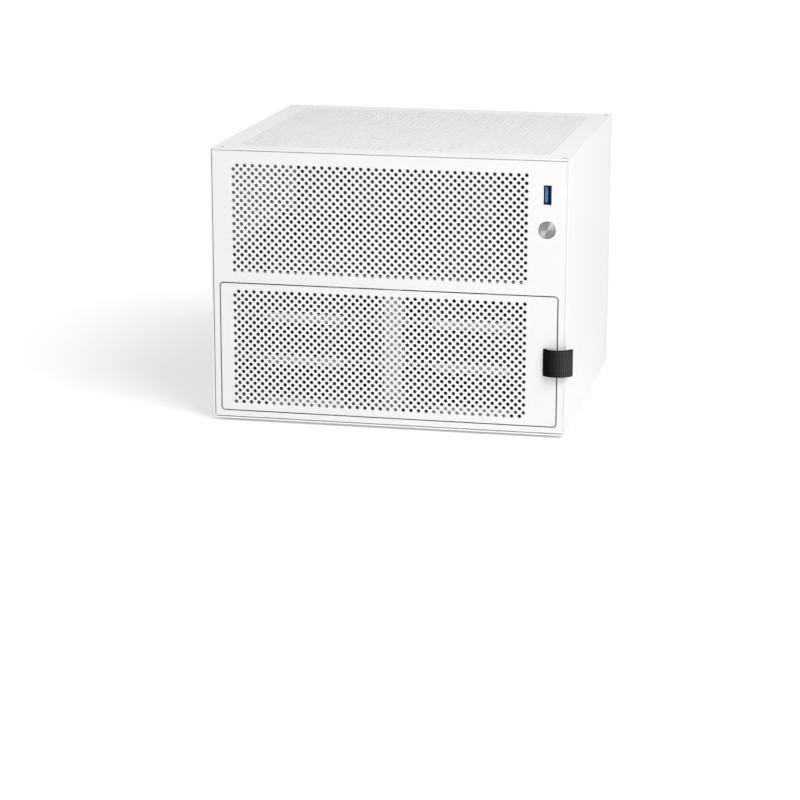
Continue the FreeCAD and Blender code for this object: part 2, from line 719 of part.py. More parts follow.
def power_button():
    """Turned button, the block whose bore guides it and the switch that it presses."""
    cap = new_body("button_cap")
    rim = "dim.button_radius"
    profile = [
        ("0", "0"),
        (f"{rim} - dim.button_chamfer", "0"),
        (rim, "dim.button_chamfer"),
        (rim, "dim.button_skirt"),
        ("dim.stem_radius", "dim.button_skirt"),
        ("dim.stem_radius", "dim.button_skirt + dim.stem_length"),
        ("0", "dim.button_skirt + dim.stem_length"),
    ]
    revolve(cap, profile)
    place(cap, CONTROL_X, f"{FRONT} - dim.button_proud", BUTTON_HEIGHT)

    housing = new_body("button_housing")
    bore = "(dim.button_radius + dim.button_room)"
    block = f"(2 * {bore} + 2 * dim.housing_wall)"
    pad(housing, "XZ_Plane", "0", "dim.housing_depth", [box_about("0", "0", block, block)])
    pocket(housing, "XZ_Plane", "0", "dim.housing_depth - dim.housing_wall", [("0", "0", bore)])
    place(housing, CONTROL_X, PANEL_BACK, BUTTON_HEIGHT)

    switch = new_body("button_switch")
    seat = "(dim.housing_depth - dim.housing_wall)"
    block = [box_about("0", "0", "dim.switch_width", "dim.switch_width")]
    pad(switch, "XZ_Plane", f"{seat} - dim.switch_height / 2", "dim.switch_height / 2", block)
    plunger = [box_about("0", "0", "dim.switch_width / 2", "dim.switch_width / 2")]
    pad(switch, "XZ_Plane", f"{seat} - dim.switch_height", "dim.switch_height / 2", plunger)
    place(switch, CONTROL_X, PANEL_BACK, BUTTON_HEIGHT)


# Shelf and rear panel

def mid_shelf():
    """Folded tray over the drive cage for the main board, with slots for the drive leads."""
    body = new_body("mid_shelf")
    skin = f"({INSIDE} - dim.sheet_thick)"
    fold_top = f"{SHELF_UNDER} + dim.shelf_fold"
    section = [
        (f"-{INSIDE}", SHELF_UNDER),
        (INSIDE, SHELF_UNDER),
        (INSIDE, fold_top),
        (skin, fold_top),
        (skin, SHELF_TOP),
        (f"-{skin}", SHELF_TOP),
        (f"-{skin}", fold_top),
        (f"-{INSIDE}", fold_top),
    ]
    tray_start = f"({PANEL_BACK} + dim.bracket_depth)"
    pad(body, "XZ_Plane", tray_start, f"{REAR_INSIDE} - dim.rear_fold - {tray_start}", [section])
    apron = f"({INSIDE} - dim.bracket_leg)"
    nose = [
        (SHELF_FRONT, f"{SHELF_TOP} - dim.shelf_fold"),
        (f"{SHELF_FRONT} + dim.sheet_thick", f"{SHELF_TOP} - dim.shelf_fold"),
        (f"{SHELF_FRONT} + dim.sheet_thick", SHELF_UNDER),
        (tray_start, SHELF_UNDER),
        (tray_start, SHELF_TOP),
        (SHELF_FRONT, SHELF_TOP),
    ]
    pad(body, "YZ_Plane", f"-{apron}", f"2 * {apron}", [nose])
    slot_front = f"({SHELF_FRONT} + dim.shelf_slot_setback)"
    slots = []
    for side in ("-", ""):
        middle = f"{side}{BAY_PITCH} / 2"
        slots.append(
            rectangle(
                f"{middle} - dim.shelf_slot_width / 2",
                f"{middle} + dim.shelf_slot_width / 2",
                slot_front,
                f"{slot_front} + dim.shelf_slot_depth",
            )
        )
    pocket(body, "XY_Plane", SHELF_UNDER, "dim.sheet_thick", slots)


def board_standoffs():
    """Four hexagonal standoffs on the shelf, in the hole pattern of a small square main board."""
    group = []
    for x_sign in ("-", "+"):
        for y_sign in ("-", "+"):
            number = len(group) + 1
            x = f"{BOARD_MIDDLE_X} {x_sign} dim.board_span_x / 2"
            y = f"{BOARD_MIDDLE_Y} {y_sign} dim.board_span_y / 2"
            hexagon = doc.addObject("Part::Prism", f"standoff_body_{number}")
            hexagon.Polygon = 6
            hexagon.setExpression("Circumradius", "dim.standoff_radius")
            hexagon.setExpression("Height", "dim.standoff_height")
            place(hexagon, x, y, SHELF_TOP)
            bore = doc.addObject("Part::Cylinder", f"standoff_bore_{number}")
            bore.setExpression("Radius", "dim.standoff_bore")
            bore.setExpression("Height", "dim.standoff_height")
            place(bore, x, y, SHELF_TOP)
            standoff = doc.addObject("Part::Cut", f"standoff_{number}")
            standoff.Base = hexagon
            standoff.Tool = bore
            group.append(standoff)
    gather("board_standoffs", group)


def rear_panel():
    """Plate with folded sides that closes the back: two apertures above the shelf, two fan grilles below."""
    corner = size("bend_radius")
    outer = rounded_wire(-inside, inside, floor, roof, corner)
    board_middle = (
        size("board_left") - inside + size("board_hole_margin") + size("board_span_x") / 2
    )
    io_low = shelf_top + size("io_raise")
    io_right = board_middle + size("io_width") / 2
    io_hole = square_wire(io_right - size("io_width"), io_right, io_low, io_low + size("io_height"))
    psu_low = shelf_top + size("psu_raise")
    psu_hole = square_wire(
        io_right + size("psu_gap"), inside - size("psu_inset"), psu_low, psu_low + size("psu_height")
    )
    holes = [io_hole, psu_hole]
    for side in (-1, 1):
        holes.extend(fan_grille(side * bay_pitch / 2, fan_height))
    thick = size("sheet_thick")
    shape = stand_up(plate(outer, holes, thick), half_depth - thick)
    fold = size("rear_fold")
    for left in (-inside, inside - thick):
        corner_point = FreeCAD.Vector(left, half_depth - thick - fold, floor + corner)
        height = roof - thick - floor - 2 * corner
        shape = shape.fuse(Part.makeBox(thick, fold + thick / 2, height, corner_point))
    wire_feature("rear_panel", shape.removeSplitter())


def fan_grille(x, z):
    """Holes of the round perforated field behind a fan."""
    pitch = size("fan_grille_pitch")
    reach = size("fan_grille_radius") - size("fan_grille_hole")
    steps = int(reach / pitch * 2) + 1
    holes = []
    for row in range(-steps, steps + 1):
        for column in range(-steps, steps + 1):
            across = (column + (row % 2) / 2) * pitch
            up = row * pitch / 2
            if math.hypot(across, up) <= reach:
                holes.append(hole_wire(x + across, z + up, size("fan_grille_hole")))
    return holes


def blank_plate(label, left, right, low, high):
    """Pressed plate that closes an aperture from inside: a flat rim and a middle raised into the hole."""
    body = new_body(label)

    def inset(by):
        return rectangle(f"{left} + {by}", f"{right} - {by}", f"{low} + {by}", f"{high} - {by}")

    rim_start = f"({REAR_INSIDE} - dim.blank_thick)"
    rise = "dim.sheet_thick - dim.blank_sink"
    pad(body, "XZ_Plane", rim_start, "dim.blank_thick", [inset("(-dim.blank_overlap)")])
    pad(body, "XZ_Plane", REAR_INSIDE, rise, [inset("dim.blank_room")])
    pocket(body, "XZ_Plane", rim_start, rise, [inset("(dim.blank_room + dim.blank_thick)")])


def blank_plates():
    """Plates that close the main board's and the power supply's apertures until those are fitted."""
    blank_plate("io_blank", f"({IO_RIGHT} - dim.io_width)", IO_RIGHT, IO_LOW, f"({IO_LOW} + dim.io_height)")
    blank_plate(
        "psu_blank",
        f"({IO_RIGHT} + dim.psu_gap)",
        f"({INSIDE} - dim.psu_inset)",
        PSU_LOW,
        f"({PSU_LOW} + dim.psu_height)",
    )


# Drive cage

def ledge_loops(wall_faces):
    """Ledges that carry the sleds: each wall face is (face, sign), and the ledge points along the sign."""
    reach = "dim.sled_side_gap + dim.ledge_overlap"
    loops = []
    for level in range(LEVELS):
        top = f"{BAY_FLOOR} + {level} * dim.bay_pitch_z"
        for face, sign in wall_faces:
            loops.append(rectangle(face, f"{face} {sign} ({reach})", f"{top} - dim.cage_thick", top))
    return loops


def cage():
    """Two outer walls and a divider, each a folded sheet with ledges, between the floor and the shelf."""
    height = f"{SHELF_UNDER} - {FLOOR}"
    half_sheet = "dim.cage_thick / 2"
    inner_length = "dim.cage_length - 2 * dim.cage_thick"
    ledge_start = f"{CAGE_FRONT} + dim.cage_thick"

    divider = new_body("cage_divider")
    wing = "dim.cage_flange / 2"
    front_inner = f"({CAGE_FRONT} + dim.cage_thick)"
    back_inner = f"({CAGE_BACK} - dim.cage_thick)"
    section = [
        (f"-{wing}", CAGE_FRONT),
        (wing, CAGE_FRONT),
        (wing, front_inner),
        (half_sheet, front_inner),
        (half_sheet, back_inner),
        (wing, back_inner),
        (wing, CAGE_BACK),
        (f"-{wing}", CAGE_BACK),
        (f"-{wing}", back_inner),
        (f"-{half_sheet}", back_inner),
        (f"-{half_sheet}", front_inner),
        (f"-{wing}", front_inner),
    ]
    pad(divider, "XY_Plane", FLOOR, height, [section])
    faces = [(half_sheet, "+"), (f"-{half_sheet}", "-")]
    pad(divider, "XZ_Plane", ledge_start, inner_length, ledge_loops(faces))

    for side, sign, towards in (("left", "-", "+"), ("right", "", "-")):
        wall = new_body(f"cage_{side}_wall")
        outer = f"{sign}({BAY_PITCH} + {half_sheet})"
        inner = f"{sign}({BAY_PITCH} - {half_sheet})"
        reach = f"{sign}({BAY_PITCH} - {wing})"
        channel = [
            (outer, CAGE_FRONT),
            (reach, CAGE_FRONT),
            (reach, front_inner),
            (inner, front_inner),
            (inner, back_inner),
            (reach, back_inner),
            (reach, CAGE_BACK),
            (outer, CAGE_BACK),
        ]
        pad(wall, "XY_Plane", FLOOR, height, [channel])
        pad(wall, "XZ_Plane", ledge_start, inner_length, ledge_loops([(inner, towards)]))


def drive_sled(number, side, level):
    """Tray of folded sheet that holds a drive, with a tongue that ends in a pull tab."""
    body = new_body(f"drive_sled_{number}")
    half = f"({BAY_PITCH} / 2 - dim.cage_thick / 2 - dim.sled_side_gap)"
    inner = f"({half} - dim.sled_thick)"
    section = [
        (f"-{half}", "0"),
        (half, "0"),
        (half, "dim.sled_wall"),
        (inner, "dim.sled_wall"),
        (inner, "dim.sled_thick"),
        (f"-{inner}", "dim.sled_thick"),
        (f"-{inner}", "dim.sled_wall"),
        (f"-{half}", "dim.sled_wall"),
    ]
    pad(body, "XZ_Plane", CAGE_FRONT, "dim.sled_length", [section])
    tab_front = f"({FRONT} + dim.tab_setback)"
    tongue = [
        (tab_front, "0"),
        (CAGE_FRONT, "0"),
        (CAGE_FRONT, "dim.sled_thick"),
        (f"{tab_front} + dim.sled_thick", "dim.sled_thick"),
        (f"{tab_front} + dim.sled_thick", "dim.sled_thick + dim.tab_height"),
        (tab_front, "dim.sled_thick + dim.tab_height"),
    ]
    pad(body, "YZ_Plane", "-dim.tab_width / 2", "dim.tab_width", [tongue])
    window = rectangle(
        "-dim.sled_window_width / 2",
        "dim.sled_window_width / 2",
        f"{CAGE_FRONT} + dim.sled_window_back",
        f"{CAGE_FRONT} + dim.sled_window_back + dim.sled_window_length",
    )
    pocket(body, "XY_Plane", "0", "dim.sled_thick", [window])
    place(body, f"{side} * {BAY_PITCH} / 2", "0", f"{BAY_FLOOR} + {level} * dim.bay_pitch_z")


def drive_socket(number, side, level):
    """Socket on the backplane that a drive plugs into."""
    body = new_body(f"drive_socket_{number}")
    block = [box_about("0", "0", "dim.socket_width", "dim.socket_height")]
    pad(body, "XZ_Plane", "-dim.socket_depth", "dim.socket_depth", block)
    slot_width = "(dim.socket_width - 2 * dim.socket_slot)"
    slot = [box_about("0", "0", slot_width, "dim.socket_slot")]
    pocket(body, "XZ_Plane", "-dim.socket_depth", "dim.socket_slot_depth", slot)
    place(body, f"{side} * {BAY_PITCH} / 2", CAGE_BACK, socket_height(level))


def socket_height(level):
    """Middle of the sockets of one level."""
    sled_floor = f"{BAY_FLOOR} + {level} * dim.bay_pitch_z + dim.sled_thick"
    return f"({sled_floor} + dim.socket_raise + dim.socket_height / 2)"


def backplane():
    """Circuit board behind the cage with an air window beside each socket."""
    body = new_body("backplane_board")
    half = f"({BAY_PITCH} + dim.backplane_edge)"
    bottom = f"{FLOOR} + dim.backplane_bottom"
    loops = [rectangle(f"-{half}", half, bottom, f"{SHELF_UNDER} - dim.backplane_top")]
    for side in (-1, 1):
        for level in range(LEVELS):
            low = f"({socket_height(level)} - dim.socket_height / 2 + dim.vent_raise)"
            for place_sign in ("-", "+"):
                middle = f"{side} * {BAY_PITCH} / 2 {place_sign} dim.vent_shift"
                loops.append(
                    rectangle(
                        f"{middle} - dim.vent_width / 2",
                        f"{middle} + dim.vent_width / 2",
                        low,
                        f"{low} + dim.vent_height",
                    )
                )
    pad(body, "XZ_Plane", CAGE_BACK, "dim.board_thick", loops)


# Fans

def fan(side_name, side):
    """Fan frame with its motor arms, and the impeller that turns in it."""
    frame = new_body(f"fan_frame_{side_name}")
    square = box_about("0", "0", "dim.fan_size", "dim.fan_size")
    pad(frame, "XZ_Plane", "0", "dim.fan_depth", [square, ("0", "0", "dim.fan_bore")])
    arm = "dim.strut_width / 2"
    tip = "(dim.fan_bore + dim.fan_size / 2) / 2"
    cross = [
        (arm, arm),
        (arm, tip),
        (f"-{arm}", tip),
        (f"-{arm}", arm),
        (f"-{tip}", arm),
        (f"-{tip}", f"-{arm}"),
        (f"-{arm}", f"-{arm}"),
        (f"-{arm}", f"-{tip}"),
        (arm, f"-{tip}"),
        (arm, f"-{arm}"),
        (tip, f"-{arm}"),
        (tip, arm),
    ]
    pad(frame, "XZ_Plane", "dim.fan_depth - dim.strut_depth", "dim.strut_depth", [cross])
    motor_start = "(dim.hub_recess + dim.hub_depth + dim.hub_gap)"
    pad(frame, "XZ_Plane", motor_start, f"dim.fan_depth - {motor_start}", [("0", "0", "dim.hub_radius")])
    bush = ("0", "0", "dim.shaft_radius + dim.shaft_room")
    pocket(frame, "XZ_Plane", motor_start, "dim.hub_gap + dim.shaft_length", [bush])

    impeller = new_body(f"fan_impeller_{side_name}")
    pad(impeller, "XZ_Plane", "dim.hub_recess", "dim.hub_depth", [("0", "0", "dim.hub_radius")])
    shaft_end = "dim.hub_depth + dim.hub_gap + dim.shaft_length"
    pad(impeller, "XZ_Plane", "dim.hub_recess", shaft_end, [("0", "0", "dim.shaft_radius")])
    front = "(dim.hub_recess + (dim.hub_depth - dim.blade_depth) / 2)"
    back = f"({front} + dim.blade_depth)"
    blade = [
        (front, "-dim.blade_sweep / 2"),
        (front, "dim.blade_thick - dim.blade_sweep / 2"),
        (back, "dim.blade_sweep / 2"),
        (back, "dim.blade_sweep / 2 - dim.blade_thick"),
    ]
    first = pad(impeller, "YZ_Plane", "dim.blade_root", "dim.blade_reach - dim.blade_root", [blade])
    ring = impeller.newObject("PartDesign::PolarPattern", f"{impeller.Name}_blades")
    ring.Originals = [first]
    ring.Axis = (origin_feature(impeller, "Y_Axis"), [""])
    ring.Angle = 360
    ring.setExpression("Occurrences", "dim.blade_count")
    impeller.Tip = ring
    for piece in (frame, impeller):
        place(piece, f"{side} * {BAY_PITCH} / 2", f"{REAR_INSIDE} - dim.fan_depth", FAN_HEIGHT)


# Assembly

base_shell()
top_cover()
feet()
front_panel()
panel_brackets()
door_magnets()
bay_door()
pull_strap()
strap_clamp()
usb_port()
io_board_and_bracket()
power_button()
mid_shelf()
board_standoffs()
rear_panel()
blank_plates()
cage()
bays = [(side, level) for level in range(LEVELS) for side in (-1, 1)]
for bay_number, (bay_side, bay_level) in enumerate(bays, start=1):
    drive_sled(bay_number, bay_side, bay_level)
    drive_socket(bay_number, bay_side, bay_level)
backplane()
fan("left", -1)
fan("right", 1)
doc.recompute()

for item in doc.Objects:
    if "Invalid" in item.State or "Error" in item.State:
        raise RuntimeError(f"{item.Label} failed to build: {item.State}")
for piece in parts:
    if piece.Shape.isNull() or not piece.Shape.isValid():
        raise RuntimeError(f"{piece.Label} has no valid shape")

os.makedirs("parts", exist_ok=True)
for piece in parts:
    piece.Shape.exportStep(f"parts/{piece.Label}.step")
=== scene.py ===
import json
import math

import bmesh
import bpy
from mathutils import Matrix, Vector


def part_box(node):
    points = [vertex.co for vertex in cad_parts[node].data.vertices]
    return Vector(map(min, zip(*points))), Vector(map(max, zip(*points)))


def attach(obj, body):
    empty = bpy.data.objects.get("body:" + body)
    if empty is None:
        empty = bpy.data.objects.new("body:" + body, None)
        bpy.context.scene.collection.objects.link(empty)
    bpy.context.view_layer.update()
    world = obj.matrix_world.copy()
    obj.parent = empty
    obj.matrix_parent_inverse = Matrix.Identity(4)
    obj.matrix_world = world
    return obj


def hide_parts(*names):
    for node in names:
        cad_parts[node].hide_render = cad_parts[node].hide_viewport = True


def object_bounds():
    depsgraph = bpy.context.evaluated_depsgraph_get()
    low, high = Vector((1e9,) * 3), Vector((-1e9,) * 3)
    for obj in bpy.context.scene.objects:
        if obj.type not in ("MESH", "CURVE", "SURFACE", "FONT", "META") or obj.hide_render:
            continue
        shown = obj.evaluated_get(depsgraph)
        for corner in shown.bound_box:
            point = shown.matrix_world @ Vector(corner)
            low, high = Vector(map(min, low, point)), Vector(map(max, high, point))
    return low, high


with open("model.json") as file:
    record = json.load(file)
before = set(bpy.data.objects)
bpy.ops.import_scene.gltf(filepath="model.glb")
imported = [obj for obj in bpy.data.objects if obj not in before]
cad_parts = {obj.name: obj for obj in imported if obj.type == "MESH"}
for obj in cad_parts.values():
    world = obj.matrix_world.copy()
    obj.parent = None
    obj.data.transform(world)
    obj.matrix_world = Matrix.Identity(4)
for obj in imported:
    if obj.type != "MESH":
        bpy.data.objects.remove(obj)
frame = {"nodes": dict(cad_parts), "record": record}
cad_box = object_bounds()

# White drive case: powder coated sheet with fine round holes, a webbing pull strap, a USB port and a turned
# button. Pieces are drawn in millimetres in the frame of the CAD model and brought to metres when they are
# hung on their body. Sizes are in millimetres unless a comment says otherwise.

MM = 0.001               # m
WELD = 0.001             # points closer than this are one point
FLUSH = 0.01             # how near a point counts as on a plane
NEARLY = 0.9             # share of a length or a direction from which it counts as the one looked for
FACING_FRONT = (math.pi / 2, 0, 0)
FACING_BACK = (math.pi / 2, 0, math.pi)

# Perforation: staggered rows, so a square cell of one pitch holds two holes on its diagonal
HOLE_PITCH = 5.8         # along a row
TILE = HOLE_PITCH / 2    # from row to row, and the shift of every second row
HOLE_RADIUS = 1.4
FRONT_HOLE_SIDES = 16
COVER_HOLE_SIDES = 8     # the cover and the back are seen at a slant or from further off
GRILLE_LEFT = -116.65    # left edge of both front grilles
GRILLE_COLUMNS = 38
UPPER_GRILLE_LOW = 113.95
UPPER_GRILLE_CELLS = 14
DOOR_GRILLE_LOW = 13.85
DOOR_GRILLE_CELLS = 15
COVER_COLUMNS = 40
COVER_CELLS = 36

EDGE_ROUND = 0.25        # softened edge of a cut sheet
FINE_EDGE = 0.1          # softened edge of small pieces
EDGE_STEPS = 3
SMOOTH_ANGLE = math.radians(31)
SHEET = 1.2
LIP = 13.0               # width of the shell's edges turned in under the cover
BEND_OUTSIDE = 2.7
BEND_STEPS = 8
CORNER_STEPS = 6

PANEL_LEFT_FIT = -0.05   # how far the front panel closes its gap to the left wall; below 0 it widens
PANEL_RIGHT_FIT = 0.62   # to the right wall
PANEL_TOP_FIT = 0.2      # and to the cover
PANEL_CORNER = 0.5
DOOR_SEAM = 0.95
DOOR_CORNER = 2.0
USB_SLOT_WIDTH = 5.9
USB_SLOT_HEIGHT = 14.5
USB_SLOT_CORNER = 0.3
USB_WALL = 0.35          # sheet of the port's shell
USB_BEND = 0.8
TONGUE_SHADE_BACK = -112.0     # behind this plane the port's blue plastic is painted black, as painted shade deep in the port

HOLE_MARGIN = 1.5        # sheet round a single hole that is filled for itself
BUTTON_ROOM = 0.3
BUTTON_SIDES = 64
BUTTON_RIM = 5.3         # length of the button's rim
BUTTON_CHAMFER = 0.4
STEM_RADIUS = 2.5

COVER_CORNER = 0.8
SCREW_HEAD = 2.6         # radius of a flat head
SCREW_ROOM = 0.35
SCREW_SINK = 0.45        # a head lies this far under the sheet's face
SCREW_SIDES = 24
SOCKET = 1.3             # middle of a head to the corners of its socket
SOCKET_DEPTH = 0.4
SOCKET_SIDES = 6
COVER_SCREW_X = 127.3
COVER_SCREW_Y = 114.5

FAN_FIELD = 37.0         # radius of the round field of holes behind a fan
FAN_CELLS = 14
REAR_COLUMNS = 36
FAN_SCREW_SPAN = 71.5    # between the screws of an 80 mm fan
BLANK_RIM = 1.2          # how far a plate reaches past the aperture that it closes
APERTURE_CORNER = 0.5
REAR_CORNER = 1.5
FOLD_LOW = 1.5           # turned side edges of the rear panel, from its lower edge
FOLD_HIGH = 2.7          # and from its upper edge
SHADE_STRIP_THICK = 0.3               # dark strip inside the rear plate, put there as painted shade
SHADE_STRIP_SIDE = 7.3          # its width left of the apertures

# Pull strap, seen from above: straight out of the door's slot, a tight turn over the slot's edge, then one
# wide arc over the door's edge and round the case's corner. Radii are those of its outer face.
STRAP_LEFT = 116.2       # outer face in the slot
TIGHT_RADIUS = 2.3
TIGHT_TURN = math.radians(47.2)
WIDE_RADIUS = 13.2
WIDE_TURN = math.radians(106.2)
BAND_THICK = 1.05
BAND_GAP = 0.1           # between the two layers of the folded band
BAND_ROUND = 0.3 * BAND_THICK
BAND_FACE = 0.4 * BAND_THICK  # a point further than this from the middle of a layer is on its face
RIB_PITCH = 1.55         # the cross ribs of the weave
RIB_DEPTH = 0.35
INNER_RIB_DEPTH = 0.15   # the layer against the case is pressed flatter
PAINTED_SHEEN_RISE = 0.65          # share of the arc along which the painted sheen on the crowns rises from faint to full; near the slot it paints the band in shade
RIB_STEPS = 4
TURN_STEPS = 8
SLOT_ROOM = 0.15         # round the strap in its slot

# Patterns of the finishes
PEEL = 1.4               # dimples of the powder coat
COAT_DRIFT = 90.0        # slow change of its tone
SPANGLE = 4.0            # crystals of the zinc
ZINC_GRAIN = 0.6
TRACK_WIDTH = 0.3        # copper tracks of a board
TRACK_LENGTH = 9.0
TRACK_PITCH = 1.8
GRAIN_DEPTH = 0.05       # of a moulded grain, as a share of its width
GRAIN_GLOSS = 0.08       # how far that grain raises and lowers the roughness
MARKS_GLOSSIER = 0.06    # how far tool marks lower the roughness of a metal
MARKS_DULLER = 0.1       # and how far they raise it
RING_PITCH = 0.4         # rings on the turned button; the tool's feed of 0.1 would not show
THREAD_PITCH = 0.9       # threads up the webbing
WAVE_TURNS = 20          # the wave texture multiplies places by this

# Stage
FLOOR_SIZE = 8.0         # m
PAPER_NEAR = 0.2         # m from the middle, from where the paper's painted glow rises
PAPER_FAR = 1.1          # m, where it is full white
PAPER_NEAR_GLOW = 0.28
PAPER_FAR_GLOW = 0.6
SKY_FILL = 0.5           # light of the surroundings on the case, as a share of the white that is seen


def linear(hex_colour):
    """An sRGB hex colour as linear red, green, blue and alpha."""
    parts = [int(hex_colour[i:i + 2], 16) / 255 for i in (0, 2, 4)]
    return [c / 12.92 if c <= 0.04045 else ((c + 0.055) / 1.055) ** 2.4 for c in parts] + [1.0]


# Finishes

def add(tree, kind, inputs=None, **settings):
    """Adds a node with its settings. An input is a value, or an output of another node to link to it."""
    node = tree.nodes.new(kind)
    for name, value in settings.items():
        setattr(node, name, value)
    for name, value in (inputs or {}).items():
        if isinstance(value, bpy.types.NodeSocket):
            tree.links.new(value, node.inputs[name])
        else:
            node.inputs[name].default_value = value
    return node


def new_finish(name):
    """An empty material, its tree and the place of a point on the piece."""
    material = bpy.data.materials.new(name)
    material.use_nodes = True
    tree = material.node_tree
    tree.nodes.clear()
    return material, tree, add(tree, "ShaderNodeTexCoord").outputs["Object"]


def end_finish(material, inputs):
    """Ends a material with a principled shader as its surface."""
    shader = add(material.node_tree, "ShaderNodeBsdfPrincipled", inputs)
    add(material.node_tree, "ShaderNodeOutputMaterial", {"Surface": shader.outputs["BSDF"]})
    return material


def powder_coat():
    """Polyester powder baked on steel sheet: a satin white skin with the slight dimples of orange peel."""
    material, tree, place = new_finish("white_powder_coat")
    peel = add(tree, "ShaderNodeTexNoise", {"Vector": place, "Scale": 1 / (PEEL * MM), "Detail": 2.0})
    bump = add(
        tree, "ShaderNodeBump", {"Height": peel.outputs["Fac"], "Strength": 0.25, "Distance": 0.02 * MM}
    )
    # The coat is a little thicker in places: a drift of tone over a hand's width, and of gloss over the peel
    drift = add(tree, "ShaderNodeTexNoise", {"Vector": place, "Scale": 1 / (COAT_DRIFT * MM), "Detail": 1.0})
    tone = add(
        tree, "ShaderNodeMix",
        {"Factor": drift.outputs["Fac"], "A": linear("F3F3F3"), "B": linear("F7F7F6")}, data_type="RGBA",
    )
    gloss = add(tree, "ShaderNodeMapRange", {"Value": peel.outputs["Fac"], "To Min": 0.5, "To Max": 0.62})
    return end_finish(material, {
        "IOR": 1.5, "Base Color": tone.outputs["Result"], "Roughness": gloss.outputs["Result"],
        "Normal": bump.outputs["Normal"],
    })


def galvanised_steel(name, painted_shade_side=None, painted_shade_colour="0E0F10"):
    """Hot dipped zinc on sheet: pale grey metal with flat crystals a few millimetres wide, each its own tone.

    The faces that look towards the given side are painted dark and dull: painted shade on inner faces that
    are seen through holes and seams.
    """
    material, tree, place = new_finish(name)
    spangle = add(tree, "ShaderNodeTexVoronoi", {"Vector": place, "Scale": 1 / (SPANGLE * MM)})
    tone = add(
        tree, "ShaderNodeMix",
        {"Factor": spangle.outputs["Color"], "A": linear("BCBFC2"), "B": linear("CCCED1")}, data_type="RGBA",
    )
    gloss = add(
        tree, "ShaderNodeMapRange", {"Value": spangle.outputs["Color"], "To Min": 0.34, "To Max": 0.44}
    )
    grain = add(tree, "ShaderNodeTexNoise", {"Vector": place, "Scale": 1 / (ZINC_GRAIN * MM), "Detail": 3.0})
    bump = add(
        tree, "ShaderNodeBump", {"Height": grain.outputs["Fac"], "Strength": 0.2, "Distance": 0.01 * MM}
    )
    colour, metallic = tone.outputs["Result"], 1.0
    if painted_shade_side:
        # Painted shade: faces towards the given side turn dark and lose their metal
        normal = add(tree, "ShaderNodeNewGeometry").outputs["Normal"]
        facing = add(tree, "ShaderNodeVectorMath", {0: normal, 1: painted_shade_side}, operation="DOT_PRODUCT")
        painted_shade = add(
            tree, "ShaderNodeMath", {0: facing.outputs["Value"], 1: NEARLY}, operation="GREATER_THAN"
        ).outputs["Value"]
        colour = add(
            tree, "ShaderNodeMix", {"Factor": painted_shade, "A": colour, "B": linear(painted_shade_colour)}, data_type="RGBA"
        ).outputs["Result"]
        metallic = add(tree, "ShaderNodeMath", {0: 1.0, 1: painted_shade}, operation="SUBTRACT").outputs["Value"]
    return end_finish(material, {
        "Metallic": metallic, "Base Color": colour, "Roughness": gloss.outputs["Result"],
        "Normal": bump.outputs["Normal"],
    })


def circuit_board():
    """Glass epoxy under dark solder mask: a glossy green skin that shows the copper tracks as paler lines."""
    material, tree, place = new_finish("solder_mask")
    turned = add(tree, "ShaderNodeMapping", {"Vector": place, "Rotation": (math.radians(90), 0, 0)})
    tracks = add(
        tree, "ShaderNodeTexBrick",
        {"Vector": turned.outputs["Vector"], "Scale": 1.0, "Mortar Size": TRACK_WIDTH * MM,
         "Mortar Smooth": 0.2, "Brick Width": TRACK_LENGTH * MM, "Row Height": TRACK_PITCH * MM,
         "Color1": linear("0F3A22"), "Color2": linear("124128"), "Mortar": linear("1E5C3A")},
    )
    rise = add(
        tree, "ShaderNodeBump", {"Height": tracks.outputs["Fac"], "Strength": 0.4, "Distance": 0.03 * MM}
    )
    return end_finish(material, {
        "IOR": 1.5, "Roughness": 0.3, "Base Color": tracks.outputs["Color"], "Normal": rise.outputs["Normal"],
    })


def moulded(name, low, high, roughness, grain_width, painted_shade_behind=None):
    """Injection moulded plastic: one colour through, with the fine spark-eroded grain of the tool.

    What lies behind a given depth is painted black, as painted shade deep in a recess.
    """
    material, tree, place = new_finish(name)
    grain = add(tree, "ShaderNodeTexNoise", {"Vector": place, "Scale": 1 / (grain_width * MM), "Detail": 4.0})
    tone = add(
        tree, "ShaderNodeMix",
        {"Factor": grain.outputs["Fac"], "A": linear(low), "B": linear(high)}, data_type="RGBA",
    )
    gloss = add(
        tree, "ShaderNodeMapRange",
        {"Value": grain.outputs["Fac"], "To Min": roughness - GRAIN_GLOSS, "To Max": roughness + GRAIN_GLOSS},
    )
    bump = add(
        tree, "ShaderNodeBump",
        {"Height": grain.outputs["Fac"], "Strength": 0.3, "Distance": GRAIN_DEPTH * grain_width * MM},
    )
    colour = tone.outputs["Result"]
    if painted_shade_behind is not None:
        # Painted shade: behind the given depth the colour turns black
        depth = add(tree, "ShaderNodeSeparateXYZ", {"Vector": place}).outputs["Y"]
        behind = add(tree, "ShaderNodeMath", {0: depth, 1: painted_shade_behind * MM}, operation="GREATER_THAN")
        colour = add(
            tree, "ShaderNodeMix",
            {"Factor": behind.outputs["Value"], "A": colour, "B": linear("0B0B0D")}, data_type="RGBA",
        ).outputs["Result"]
    return end_finish(material, {
        "IOR": 1.52, "Base Color": colour, "Roughness": gloss.outputs["Result"],
        "Normal": bump.outputs["Normal"],
    })


def bright_metal(name, low, high, roughness, scratch_width):
    """Plated or turned metal: bright, with tool marks that vary the gloss more than the colour."""
    material, tree, place = new_finish(name)
    marks = add(
        tree, "ShaderNodeTexNoise", {"Vector": place, "Scale": 1 / (scratch_width * MM), "Detail": 5.0}
    )
    tone = add(
        tree, "ShaderNodeMix",
        {"Factor": marks.outputs["Fac"], "A": linear(low), "B": linear(high)}, data_type="RGBA",
    )
    gloss = add(
        tree, "ShaderNodeMapRange",
        {"Value": marks.outputs["Fac"], "To Min": roughness - MARKS_GLOSSIER,
         "To Max": roughness + MARKS_DULLER},
    )
    return end_finish(material, {
        "Metallic": 1.0, "Base Color": tone.outputs["Result"], "Roughness": gloss.outputs["Result"],
    })


